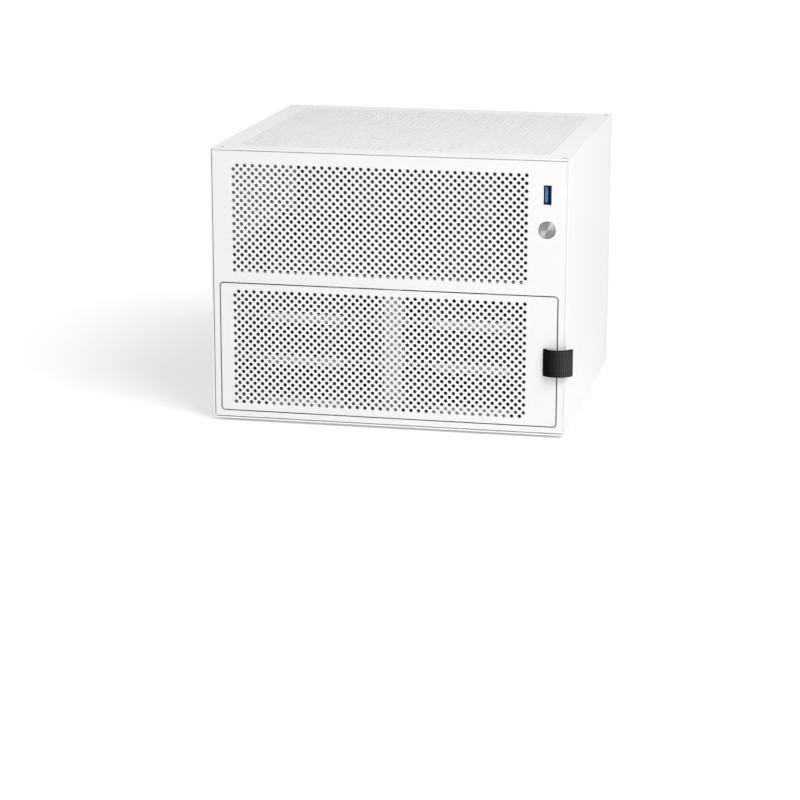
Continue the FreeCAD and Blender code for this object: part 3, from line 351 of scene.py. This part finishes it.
def turned_aluminium():
    """Aluminium faced on a lathe: the rings of the tool spread each reflection into a fan, light and dark."""
    low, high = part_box("button_cap")
    middle = (low + high) / 2
    material, tree, place = new_finish("turned_aluminium")
    from_middle = add(tree, "ShaderNodeVectorMath", {0: place, 1: middle}, operation="SUBTRACT")
    # The rings lie round the Y axis and spread light across themselves, so outwards from the middle
    outwards = add(
        tree, "ShaderNodeVectorMath", {0: from_middle.outputs["Vector"], 1: (1, 0, 1)}, operation="MULTIPLY"
    )
    way = add(tree, "ShaderNodeVectorMath", {0: outwards.outputs["Vector"]}, operation="NORMALIZE")
    radius = add(tree, "ShaderNodeVectorMath", {0: outwards.outputs["Vector"]}, operation="LENGTH")
    turns = add(
        tree, "ShaderNodeMath",
        {0: radius.outputs["Value"], 1: 2 * math.pi / (RING_PITCH * MM)}, operation="MULTIPLY",
    )
    rings = add(tree, "ShaderNodeMath", {0: turns.outputs["Value"]}, operation="SINE")
    crest = add(tree, "ShaderNodeMapRange", {"Value": rings.outputs["Value"], "From Min": -1.0})
    tone = add(
        tree, "ShaderNodeMix",
        {"Factor": crest.outputs["Result"], "A": linear("969698"), "B": linear("AAAAAC")}, data_type="RGBA",
    )
    return end_finish(material, {
        "Metallic": 1.0, "Anisotropic": 1.0, "Roughness": 0.5, "Base Color": tone.outputs["Result"],
        "Tangent": way.outputs["Vector"],
    })


def webbing():
    """Woven nylon band: deep black, with a painted sheen on the crowns of the ribs, painted shade in the
    valleys between them, and threads along them.
    """
    material, tree, place = new_finish("black_webbing")
    # Threads lie side by side up the band
    threads = add(
        tree, "ShaderNodeTexWave",
        {"Vector": place, "Scale": 2 * math.pi / (WAVE_TURNS * THREAD_PITCH * MM), "Distortion": 0.6},
        wave_type="BANDS", bands_direction="Z",
    )
    # These greys of the threads are the painted sheen of the crowns
    thread = add(
        tree, "ShaderNodeMix",
        {"Factor": threads.outputs["Fac"], "A": linear("3A3A3C"), "B": linear("68686C")}, data_type="RGBA",
    )
    # Painted highlight and shade: the crowns of the ribs are painted in the lighter greys of the threads, and
    # the valleys between them are painted black
    crown = add(tree, "ShaderNodeAttribute", attribute_name="painted_rib_sheen")
    tone = add(
        tree, "ShaderNodeMix",
        {"Factor": crown.outputs["Fac"], "A": linear("030304"), "B": thread.outputs["Result"]},
        data_type="RGBA",
    )
    bump = add(
        tree, "ShaderNodeBump", {"Height": threads.outputs["Fac"], "Strength": 0.5, "Distance": 0.08 * MM}
    )
    return end_finish(material, {
        "IOR": 1.53, "Roughness": 0.7, "Specular IOR Level": 0.05, "Base Color": tone.outputs["Result"],
        "Normal": bump.outputs["Normal"],
    })


FINISHES = {
    "white_powder_coat": powder_coat(),
    "galvanised_steel": galvanised_steel("galvanised_steel"),
    "circuit_board": circuit_board(),
    "black_plastic": moulded("black_abs", "141415", "1C1C1E", roughness=0.5, grain_width=0.5),
    "blue_plastic": moulded(
        "blue_pbt", "2677BA", "3A92D0", roughness=0.32, grain_width=0.3, painted_shade_behind=TONGUE_SHADE_BACK
    ),
    "nickel_plate": bright_metal("nickel_plate", "A3A19D", "BDBBB6", roughness=0.24, scratch_width=0.8),
    "turned_aluminium": turned_aluminium(),
    "brass": bright_metal("turned_brass", "B08A3E", "CDA85A", roughness=0.3, scratch_width=0.6),
    "black_webbing": webbing(),
    "black_rubber": moulded("black_rubber", "161617", "222224", roughness=0.72, grain_width=0.7),
}
# Painted shade: the shelf's upper face and the inner faces of the blank plates and panel brackets are painted
# dark, grey on the I/O plate
SHADE_PAINTED_STEEL = galvanised_steel("galvanised_shade_painted", painted_shade_side=(0, -1, 0))
SHADE_PAINTED_FINISHES = {
    "mid_shelf": galvanised_steel("galvanised_tray", painted_shade_side=(0, 0, 1)),
    "io_blank": galvanised_steel("galvanised_io_blank", painted_shade_side=(0, -1, 0), painted_shade_colour="5E6062"),
    "psu_blank": SHADE_PAINTED_STEEL,
    "panel_bracket_left": SHADE_PAINTED_STEEL,
    "panel_bracket_right": SHADE_PAINTED_STEEL,
}


# Modelling

def node_box(node):
    """Lowest and highest corner of a CAD node in millimetres."""
    low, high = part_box(node)
    return low / MM, high / MM


def start(name):
    """A new piece at the origin, open in edit mode and still empty."""
    bpy.ops.object.select_all(action="DESELECT")
    bpy.ops.mesh.primitive_plane_add(location=(0, 0, 0))
    piece = bpy.context.object
    piece.name = name
    bpy.ops.object.mode_set(mode="EDIT")
    bpy.ops.mesh.delete(type="VERT")
    return piece


def hang(piece, body, slot, *nodes):
    """Brings a piece from millimetres to metres, gives it its finish and hangs it on its body."""
    bpy.ops.object.mode_set(mode="OBJECT")
    piece.location *= MM
    piece.scale = (MM, MM, MM)
    bpy.ops.object.transform_apply(location=True, rotation=True, scale=True)
    bpy.ops.object.shade_smooth_by_angle(angle=SMOOTH_ANGLE)
    # Flat sheets stay flat to the eye beside their rounded edges
    shading = piece.modifiers.new("shading", "WEIGHTED_NORMAL")
    shading.keep_sharp = True
    bpy.ops.object.modifier_apply(modifier=shading.name)
    piece.data.materials.append(FINISHES[slot])
    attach(piece, body)
    if nodes:
        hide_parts(*nodes)


def select(piece, kind, test):
    """Leaves only those edges or faces selected that pass a test."""
    bpy.ops.mesh.select_mode(type=kind)
    bpy.ops.mesh.select_all(action="DESELECT")
    mesh = bmesh.from_edit_mesh(piece.data)
    for part in {"EDGE": mesh.edges, "FACE": mesh.faces}[kind]:
        if test(part):
            part.select_set(True)
    bmesh.update_edit_mesh(piece.data)


def rectangle_loop(left, right, low, high, corner=0.0):
    """Edges of a rectangle in the XY plane, its corners rounded. A seam marks them as a cut edge."""
    middle = ((left + right) / 2, (low + high) / 2, 0)
    bpy.ops.mesh.primitive_plane_add(size=1, location=middle)
    bpy.ops.transform.resize(value=(right - left, high - low, 1), center_override=middle)
    if corner:
        bpy.ops.mesh.bevel(offset=corner, segments=CORNER_STEPS, affect="VERTICES")
    bpy.ops.mesh.delete(type="ONLY_FACE")
    bpy.ops.mesh.mark_seam()


def round_loop(x, y, radius, sides):
    """Edges of a circle in the XY plane, marked as a cut edge."""
    bpy.ops.mesh.primitive_circle_add(vertices=sides, radius=radius, location=(x, y, 0))
    bpy.ops.mesh.mark_seam()


def round_hole(piece, x, y, radius, sides):
    """A circle in a square of sheet, which keeps the long faces beside it clear of its softened edge."""
    round_loop(x, y, radius, sides)
    bpy.ops.mesh.primitive_plane_add(size=2 * (radius + HOLE_MARGIN), location=(x, y, 0))
    bpy.ops.mesh.delete(type="ONLY_FACE")
    select(piece, "EDGE", lambda edge: edge.is_wire)
    bpy.ops.mesh.fill(use_beauty=True)


def repeat(piece, count, step):
    """Copies what a piece holds along one direction and joins the copies."""
    row = piece.modifiers.new("row", "ARRAY")
    row.use_relative_offset = False
    row.use_constant_offset = True
    row.constant_offset_displace = step
    row.count = count
    row.use_merge_vertices = True
    row.merge_threshold = WELD
    bpy.ops.object.modifier_apply(modifier=row.name)


def add_holes(piece, left, low, columns, cells, sides):
    """Field of staggered round holes: a cell of two tiles with a hole and two plain ones, repeated."""
    for shift in (0, TILE):
        middle = (left + TILE / 2 + shift, low + TILE / 2 + shift, 0)
        beside = (left + TILE * 1.5 - shift, low + TILE / 2 + shift, 0)
        bpy.ops.mesh.primitive_circle_add(vertices=sides, radius=HOLE_RADIUS, location=middle)
        bpy.ops.mesh.primitive_plane_add(size=TILE, location=middle)
        bpy.ops.mesh.delete(type="ONLY_FACE")
        select(piece, "EDGE", lambda edge: edge.is_wire)
        bpy.ops.mesh.fill(use_beauty=True)
        bpy.ops.mesh.primitive_plane_add(size=TILE, location=beside)
    bpy.ops.mesh.select_all(action="SELECT")
    bpy.ops.mesh.remove_doubles(threshold=WELD)
    bpy.ops.object.mode_set(mode="OBJECT")
    repeat(piece, columns, (HOLE_PITCH, 0, 0))
    repeat(piece, cells, (0, HOLE_PITCH, 0))
    bpy.ops.object.mode_set(mode="EDIT")


def thicken(piece, thickness, even=False):
    """Gives a surface its thickness, on the side away from its normals."""
    bpy.ops.object.mode_set(mode="OBJECT")
    sheet = piece.modifiers.new("sheet", "SOLIDIFY")
    sheet.thickness = thickness
    sheet.offset = -1
    sheet.use_even_offset = even
    bpy.ops.object.modifier_apply(modifier=sheet.name)
    bpy.ops.object.mode_set(mode="EDIT")


def finish_sheet(piece, thickness, edge_round=EDGE_ROUND):
    """Fills the sheet between its holes and its cut edges, thickens it and softens the cut edges."""
    # A hole's sides are shorter than its radius, and the sides of a tile are longer
    select(
        piece, "EDGE",
        lambda edge: edge.is_wire or (edge.is_boundary and edge.calc_length() > HOLE_RADIUS),
    )
    bpy.ops.mesh.fill(use_beauty=True)
    bpy.ops.mesh.select_all(action="SELECT")
    bpy.ops.mesh.normals_make_consistent(inside=False)
    if bmesh.from_edit_mesh(piece.data).faces[:][0].normal.z < 0:
        bpy.ops.mesh.flip_normals()
    thicken(piece, thickness)
    select(piece, "EDGE", lambda edge: edge.seam and all(v.co.z > -FLUSH for v in edge.verts))
    bpy.ops.mesh.bevel(offset=edge_round, segments=EDGE_STEPS, affect="EDGES")
    bpy.ops.object.mode_set(mode="OBJECT")


def front_panel():
    """Plate with the upper grille, the door's opening, the slot for the USB port and the button's hole."""
    low, high = node_box("front_panel")
    door_low, door_high = node_box("bay_door")
    usb_low, usb_high = node_box("usb_shell")
    button_low, button_high = node_box("button_cap")
    usb = (usb_low + usb_high) / 2
    button = (button_low + button_high) / 2
    piece = start("front_plate")
    add_holes(piece, GRILLE_LEFT, UPPER_GRILLE_LOW, GRILLE_COLUMNS, UPPER_GRILLE_CELLS, FRONT_HOLE_SIDES)
    round_hole(
        piece, button.x, button.z, (button_high.x - button_low.x) / 2 + BUTTON_ROOM, BUTTON_SIDES
    )
    rectangle_loop(
        low.x - PANEL_LEFT_FIT, high.x + PANEL_RIGHT_FIT, low.z, high.z + PANEL_TOP_FIT, PANEL_CORNER
    )
    rectangle_loop(
        door_low.x - DOOR_SEAM, door_high.x + DOOR_SEAM, door_low.z - DOOR_SEAM, door_high.z + DOOR_SEAM,
        DOOR_CORNER + DOOR_SEAM,
    )
    rectangle_loop(
        usb.x - USB_SLOT_WIDTH / 2, usb.x + USB_SLOT_WIDTH / 2, usb.z - USB_SLOT_HEIGHT / 2,
        usb.z + USB_SLOT_HEIGHT / 2, USB_SLOT_CORNER,
    )
    finish_sheet(piece, high.y - low.y)
    piece.rotation_euler = FACING_FRONT
    piece.location = (0, low.y, 0)
    hang(piece, "case", "white_powder_coat", "front_panel")


def bay_door():
    """Plate with the lower grille and the slot that the strap comes out of."""
    low, high = node_box("bay_door")
    strap_low, strap_high = node_box("pull_strap")
    piece = start("door_plate")
    add_holes(piece, GRILLE_LEFT, DOOR_GRILLE_LOW, GRILLE_COLUMNS, DOOR_GRILLE_CELLS, FRONT_HOLE_SIDES)
    rectangle_loop(low.x, high.x, low.z, high.z, DOOR_CORNER)
    strap_right = STRAP_LEFT + 2 * BAND_THICK + BAND_GAP
    rectangle_loop(
        STRAP_LEFT - SLOT_ROOM, strap_right + SLOT_ROOM, strap_low.z - SLOT_ROOM, strap_high.z + SLOT_ROOM
    )
    finish_sheet(piece, high.y - low.y)
    piece.rotation_euler = FACING_FRONT
    piece.location = (0, low.y, 0)
    hang(piece, "door", "white_powder_coat", "bay_door")


def top_cover():
    """Perforated plate with a hole for a sunk screw head near each corner."""
    low, high = node_box("top_cover")
    piece = start("cover_plate")
    add_holes(
        piece, -COVER_COLUMNS * TILE, -COVER_CELLS * TILE, COVER_COLUMNS, COVER_CELLS, COVER_HOLE_SIDES
    )
    rectangle_loop(low.x, high.x, low.y, high.y, COVER_CORNER)
    for x in (-COVER_SCREW_X, COVER_SCREW_X):
        for y in (-COVER_SCREW_Y, COVER_SCREW_Y):
            round_loop(x, y, SCREW_HEAD + SCREW_ROOM, SCREW_SIDES)
    finish_sheet(piece, high.z - low.z)
    piece.location = (0, 0, high.z)
    hang(piece, "case", "white_powder_coat", "top_cover")


def pull_strap():
    """Folded webbing: one layer out of the slot and round the corner, a turn at the tip, and back."""
    low, high = node_box("pull_strap")
    front = node_box("bay_door")[0].y
    back = node_box("strap_clamp")[1].y
    # Drawn about the middle of the wide arc
    tight = Vector((math.cos(TIGHT_TURN), math.sin(TIGHT_TURN), 0)) * (TIGHT_RADIUS - WIDE_RADIUS)
    outer = WIDE_RADIUS - BAND_THICK / 2
    inner = outer - BAND_THICK - BAND_GAP
    first = math.pi + TIGHT_TURN
    last = first + WIDE_TURN
    tip = Vector((math.cos(last), math.sin(last), 0)) * (outer + inner) / 2
    ribs = round(WIDE_TURN * outer / RIB_PITCH)
    steps = ribs * RIB_STEPS
    section = tight + Vector((BAND_THICK / 2 - TIGHT_RADIUS, back - front, 0))
    upright = (0, 0, 1)
    piece = start("strap")
    bpy.ops.mesh.primitive_plane_add(size=1, location=section, rotation=FACING_FRONT)
    bpy.ops.transform.resize(value=(BAND_THICK, 1, high.z - low.z), center_override=section)
    bpy.ops.mesh.bevel(offset=BAND_ROUND, segments=EDGE_STEPS, affect="VERTICES")
    bpy.ops.mesh.extrude_region_move(TRANSFORM_OT_translate={"value": (0, front - back, 0)})
    bpy.ops.mesh.spin(steps=TURN_STEPS, angle=-TIGHT_TURN, center=tight, axis=upright)
    bpy.ops.mesh.spin(steps=steps, angle=-WIDE_TURN, center=(0, 0, 0), axis=upright)
    bpy.ops.mesh.spin(steps=TURN_STEPS, angle=-math.pi, center=tip, axis=upright)
    bpy.ops.mesh.spin(steps=steps, angle=WIDE_TURN, center=(0, 0, 0), axis=upright)
    bpy.ops.mesh.spin(steps=TURN_STEPS, angle=TIGHT_TURN, center=tight, axis=upright)
    bpy.ops.mesh.extrude_region_move(TRANSFORM_OT_translate={"value": (0, back - front, 0)})
    bpy.ops.mesh.select_all(action="SELECT")
    bpy.ops.mesh.remove_doubles(threshold=WELD)
    bpy.ops.mesh.normals_make_consistent(inside=False)
    # The crowns of the ribs stand out on both faces of the wide arc. An attribute marks them for the finish's
    # painted sheen, faint where the band leaves the slot, which paints that part in shade, and in full
    # towards its tip
    mesh = bmesh.from_edit_mesh(piece.data)
    painted_rib_sheen = mesh.verts.layers.float.new("painted_rib_sheen")
    for vertex in mesh.verts:
        spot = vertex.co.xy
        turn = (math.atan2(spot.y, spot.x) - first) % (2 * math.pi)
        if turn > WIDE_TURN:
            continue
        share = turn / WIDE_TURN
        crown = (1 - math.cos(2 * math.pi * ribs * share)) / 2
        # Painted sheen on the crowns, faded to painted shade towards the slot
        painted_sheen = crown * min(1, share / PAINTED_SHEEN_RISE) ** 2
        if spot.length > outer + BAND_FACE:
            vertex.co.xy = spot * (1 + crown * RIB_DEPTH / spot.length)
            vertex[painted_rib_sheen] = painted_sheen
        elif spot.length < inner - BAND_FACE:
            vertex.co.xy = spot * (1 - crown * INNER_RIB_DEPTH / spot.length)
            vertex[painted_rib_sheen] = painted_sheen
    bmesh.update_edit_mesh(piece.data)
    piece.location = (STRAP_LEFT + TIGHT_RADIUS - tight.x, front - tight.y, (low.z + high.z) / 2)
    hang(piece, "door", "black_webbing", "pull_strap")


def usb_port():
    """Folded metal shell of the port, behind its slot in the panel."""
    low, high = node_box("usb_shell")
    front = node_box("front_panel")[1].y
    piece = start("usb_tube")
    rectangle_loop(low.x, high.x, low.z, high.z, USB_BEND)
    rectangle_loop(
        low.x + USB_WALL, high.x - USB_WALL, low.z + USB_WALL, high.z - USB_WALL, USB_BEND - USB_WALL
    )
    finish_sheet(piece, high.y - front, FINE_EDGE)
    piece.rotation_euler = FACING_FRONT
    piece.location = (0, front, 0)
    hang(piece, "case", "nickel_plate", "usb_shell")


def power_button():
    """Turned cap: flat face with a chamfer, a rim that runs back into its guide, and a stem behind it."""
    low, high = node_box("button_cap")
    radius = (high.x - low.x) / 2
    piece = start("button")
    bpy.ops.mesh.primitive_cylinder_add(
        vertices=BUTTON_SIDES, radius=radius, depth=BUTTON_RIM, location=(0, 0, -BUTTON_RIM / 2)
    )
    select(piece, "EDGE", lambda edge: all(v.co.z > -FLUSH for v in edge.verts))
    bpy.ops.mesh.bevel(offset=BUTTON_CHAMFER, segments=EDGE_STEPS, affect="EDGES")
    select(piece, "FACE", lambda face: face.normal.z < -NEARLY)
    bpy.ops.mesh.inset(thickness=radius - STEM_RADIUS)
    bpy.ops.mesh.extrude_region_move(TRANSFORM_OT_translate={"value": (0, 0, BUTTON_RIM - high.y + low.y)})
    piece.rotation_euler = FACING_FRONT
    piece.location = ((low.x + high.x) / 2, low.y, (low.z + high.z) / 2)
    hang(piece, "power_button", "turned_aluminium", "button_cap")


def add_block(left, right, low, high, back, front):
    """A block between two corners, in a piece that is open in edit mode."""
    middle = ((left + right) / 2, (low + high) / 2, (back + front) / 2)
    bpy.ops.mesh.primitive_cube_add(size=1, location=middle)
    bpy.ops.transform.resize(value=(right - left, high - low, front - back), center_override=middle)


def folded_shell():
    """Left wall, floor and right wall folded from one sheet, with lips turned in under the cover."""
    low, high = node_box("base_shell")
    lip_front, lip_back = node_box("front_panel")[1].y, node_box("rear_panel")[1].y - SHEET
    piece = start("shell")
    add_block(low.x, high.x, low.y, high.y, low.z, high.z)
    select(piece, "FACE", lambda face: max(abs(face.normal.y), face.normal.z) > NEARLY)
    bpy.ops.mesh.delete(type="FACE")
    select(
        piece, "EDGE",
        lambda edge: edge.is_manifold and all(v.co.z < low.z + FLUSH for v in edge.verts),
    )
    bpy.ops.mesh.bevel(offset=BEND_OUTSIDE, segments=BEND_STEPS, affect="EDGES")
    thicken(piece, SHEET, even=True)
    select(piece, "EDGE", lambda edge: edge.is_manifold and edge.calc_face_angle() > SMOOTH_ANGLE)
    bpy.ops.mesh.bevel(offset=EDGE_ROUND, segments=EDGE_STEPS, affect="EDGES")
    for left, right in ((high.x - LIP, high.x - SHEET), (low.x + SHEET, low.x + LIP)):
        add_block(left, right, lip_front, lip_back, high.z - SHEET, high.z)
    hang(piece, "case", "white_powder_coat", "base_shell")


def fan_middles():
    """Middle of each fan as seen from behind, across and up."""
    middles = []
    for node in ("fan_frame_right", "fan_frame_left"):
        low, high = node_box(node)
        middles.append(Vector((-(low.x + high.x) / 2, (low.z + high.z) / 2)))
    return middles


def rear_panel():
    """Plate drawn as seen from behind: round fields of holes, two apertures and turned side edges."""
    low, high = node_box("rear_panel")
    fans = fan_middles()
    corner = Vector((-REAR_COLUMNS * TILE, fans[0].y - FAN_CELLS * TILE))

    def beyond_fans(face):
        spot = (face.calc_center_median().xy - corner) / TILE
        tile = Vector((math.floor(spot.x) + 0.5, math.floor(spot.y) + 0.5)) * TILE + corner
        return all((tile - fan).length > FAN_FIELD for fan in fans)

    piece = start("rear_plate")
    add_holes(piece, corner.x, corner.y, REAR_COLUMNS, FAN_CELLS, COVER_HOLE_SIDES)
    select(piece, "FACE", beyond_fans)
    bpy.ops.mesh.delete(type="FACE")
    rectangle_loop(-high.x, -low.x, low.z, high.z, REAR_CORNER)
    for node in ("io_blank", "psu_blank"):
        plate_low, plate_high = node_box(node)
        rectangle_loop(
            BLANK_RIM - plate_high.x, -plate_low.x - BLANK_RIM,
            plate_low.z + BLANK_RIM, plate_high.z - BLANK_RIM, APERTURE_CORNER,
        )
    for fan in fans:
        for across in (-FAN_SCREW_SPAN / 2, FAN_SCREW_SPAN / 2):
            for up in (-FAN_SCREW_SPAN / 2, FAN_SCREW_SPAN / 2):
                round_loop(fan.x + across, fan.y + up, SCREW_HEAD + SCREW_ROOM, SCREW_SIDES)
    finish_sheet(piece, SHEET)
    bpy.ops.object.mode_set(mode="EDIT")
    for left in (-high.x, high.x - SHEET):
        add_block(left, left + SHEET, low.z + FOLD_LOW, high.z - FOLD_HIGH, low.y - high.y, -SHEET)
    piece.rotation_euler = FACING_BACK
    piece.location = (0, high.y, 0)
    hang(piece, "case", "white_powder_coat", "rear_panel")


def screws(name, x, y, depth, *grid):
    """One flat head with a six-sided socket, repeated over a grid. Its face is in the XY plane."""
    piece = start(name)
    round_loop(x, y, SCREW_HEAD, SCREW_SIDES)
    round_loop(x, y, SOCKET, SOCKET_SIDES)
    bpy.ops.mesh.select_all(action="SELECT")
    bpy.ops.mesh.fill(use_beauty=True)
    # The socket's six sides are as long as its radius, and those of the rim are shorter
    select(piece, "EDGE", lambda edge: edge.is_boundary and edge.calc_length() > NEARLY * SOCKET)
    bpy.ops.mesh.extrude_edges_move(TRANSFORM_OT_translate={"value": (0, 0, -SOCKET_DEPTH)})
    bpy.ops.mesh.edge_face_add()
    select(piece, "EDGE", lambda edge: edge.is_boundary)
    bpy.ops.mesh.extrude_edges_move(TRANSFORM_OT_translate={"value": (0, 0, -depth)})
    bpy.ops.mesh.edge_face_add()
    bpy.ops.mesh.select_all(action="SELECT")
    bpy.ops.mesh.normals_make_consistent(inside=False)
    select(piece, "EDGE", lambda edge: edge.seam and all(v.co.z > -FLUSH for v in edge.verts))
    bpy.ops.mesh.bevel(offset=FINE_EDGE, segments=EDGE_STEPS, affect="EDGES")
    bpy.ops.object.mode_set(mode="OBJECT")
    for step in grid:
        repeat(piece, 2, step)
    return piece


def cover_screws():
    """Screws near the corners of the cover."""
    low, high = node_box("top_cover")
    piece = screws(
        "cover_screws", -COVER_SCREW_X, -COVER_SCREW_Y, high.z - low.z - SCREW_SINK,
        (2 * COVER_SCREW_X, 0, 0), (0, 2 * COVER_SCREW_Y, 0),
    )
    piece.location = (0, 0, high.z - SCREW_SINK)
    hang(piece, "case", "nickel_plate")


def fan_screws():
    """Screws at the corners of both fans, drawn as seen from behind."""
    back = node_box("rear_panel")[1].y
    right, left = fan_middles()
    piece = screws(
        "fan_screws", right.x - FAN_SCREW_SPAN / 2, right.y - FAN_SCREW_SPAN / 2, SHEET - SCREW_SINK,
        (FAN_SCREW_SPAN, 0, 0), (0, FAN_SCREW_SPAN, 0), (left.x - right.x, 0, 0),
    )
    piece.rotation_euler = FACING_BACK
    piece.location = (0, back - SCREW_SINK, 0)
    hang(piece, "case", "nickel_plate")


def painted_shade_strip():
    """Black strip inside the rear plate, under and beside the plates that shut its apertures: a dark sheet
    put there as painted shade for what is seen through the holes.
    """
    wall = node_box("rear_panel")[1].y - SHEET
    bottom = node_box("mid_shelf")[0].z
    io_low, io_high = node_box("io_blank")
    supply_low, supply_high = node_box("psu_blank")
    piece = start("painted_shade_strip")
    # Painted shade: dark blocks where the inside of the rear plate is seen in shade
    add_block(io_low.x, supply_high.x, wall - SHADE_STRIP_THICK, wall, bottom, supply_low.z - FLUSH)
    add_block(io_low.x, io_high.x, wall - SHADE_STRIP_THICK, wall, supply_low.z - FLUSH, io_low.z - FLUSH)
    add_block(io_low.x - SHADE_STRIP_SIDE, io_low.x - FLUSH, wall - SHADE_STRIP_THICK, wall, bottom, io_high.z)
    add_block(io_high.x + FLUSH, supply_low.x - FLUSH, wall - SHADE_STRIP_THICK, wall, supply_low.z, supply_high.z)
    hang(piece, "case", "black_plastic")


folded_shell()
front_panel()
bay_door()
top_cover()
rear_panel()
pull_strap()
usb_port()
power_button()
cover_screws()
fan_screws()
painted_shade_strip()

for subpart in frame["record"]["subparts"]:
    name, slot = subpart["node"], subpart["material_slot"]
    materials = frame["nodes"][name].data.materials
    materials.clear()
    materials.append(SHADE_PAINTED_FINISHES.get(name, FINISHES[slot]))


# Floor, light and camera

def seen_by(tree, *rays):
    """1 for rays of the given kinds, and 0 for all others."""
    path = add(tree, "ShaderNodeLightPath")
    seen = path.outputs[rays[0]]
    for ray in rays[1:]:
        seen = add(
            tree, "ShaderNodeMath", {0: seen, 1: path.outputs[ray]}, operation="MAXIMUM"
        ).outputs["Value"]
    return seen


def floor():
    """Pale floor, lit and given a painted glow, that turns white away from the case and keeps the shadow of
    the case near it.
    """
    bpy.ops.object.select_all(action="DESELECT")
    bpy.ops.mesh.primitive_plane_add(size=FLOOR_SIZE, location=(0, 0, 0))
    ground = bpy.context.object
    ground.name = "floor"
    material, tree, place = new_finish("floor_paper")
    # Painted light: the paper glows for the eye and in reflections, faintly near the case so that its shadow
    # stays, and enough to turn full white a metre away
    distance = add(tree, "ShaderNodeVectorMath", {0: place}, operation="LENGTH").outputs["Value"]
    painted_glow_level = add(
        tree, "ShaderNodeMapRange",
        {"Value": distance, "From Min": PAPER_NEAR, "From Max": PAPER_FAR, "To Min": PAPER_NEAR_GLOW,
         "To Max": PAPER_FAR_GLOW},
    )
    seen = seen_by(tree, "Is Camera Ray", "Is Glossy Ray")
    glow = add(tree, "ShaderNodeMath", {0: seen, 1: painted_glow_level.outputs["Result"]}, operation="MULTIPLY")
    ground.data.materials.append(end_finish(material, {
        "Base Color": linear("F6F6F6"), "Roughness": 0.9, "Specular IOR Level": 0.1,
        "Emission Color": linear("FFFFFF"), "Emission Strength": glow.outputs["Value"],
    }))


def studio_world():
    """Even white surroundings: full white to the eye and in reflections, and a softer fill on the case."""
    world = bpy.data.worlds.new("studio")
    world.use_nodes = True
    tree = world.node_tree
    tree.nodes.clear()
    seen = seen_by(tree, "Is Camera Ray", "Is Glossy Ray", "Is Transmission Ray")
    level = add(tree, "ShaderNodeMapRange", {"Value": seen, "To Min": SKY_FILL, "To Max": 1.0})
    sky = add(
        tree, "ShaderNodeBackground", {"Color": linear("FFFFFF"), "Strength": level.outputs["Result"]}
    )
    add(tree, "ShaderNodeOutputWorld", {"Surface": sky.outputs["Background"]})
    bpy.context.scene.world = world


def lamp(name, place, power, width):
    """Square soft box that faces the case's middle."""
    light = bpy.data.lights.new(name, "AREA")
    light.energy = power
    light.size = width
    holder = bpy.data.objects.new(name, light)
    holder.location = place
    aim = Vector((0, 0, (cad_box[0].z + cad_box[1].z) / 2)) - holder.location
    holder.rotation_euler = aim.to_track_quat("-Z", "Y").to_euler()
    bpy.context.collection.objects.link(holder)
    return holder


def camera():
    """Camera of the photograph, from above and a little to the right of the front."""
    eye = Vector((0.3757, -1.8832, 0.4820))
    yaw, pitch, roll = math.radians(11.735), math.radians(14.325), math.radians(0.112)
    lens = bpy.data.cameras.new("camera")
    lens.sensor_width = 36.0
    lens.lens = 112.93
    holder = bpy.data.objects.new("camera", lens)
    turn = Matrix.Rotation(yaw, 4, "Z") @ Matrix.Rotation(math.pi / 2 - pitch, 4, "X")
    holder.matrix_world = Matrix.Translation(eye) @ turn @ Matrix.Rotation(roll, 4, "Z")
    bpy.context.collection.objects.link(holder)
    bpy.context.scene.camera = holder


floor()
studio_world()
lamp("key", place=(0.93, -0.9, 1.33), power=18.5, width=1.0)
lamp("fill", place=(-1.0, -1.9, 0.7), power=1.8, width=1.4)
# A white card beside the key, seen only in reflections, draws the fan of light on the turned button
card = lamp("card", place=(1.11, -1.24, 0.63), power=26, width=1.6)
card.visible_diffuse = False
camera()
bpy.context.scene.view_settings.view_transform = "Standard"
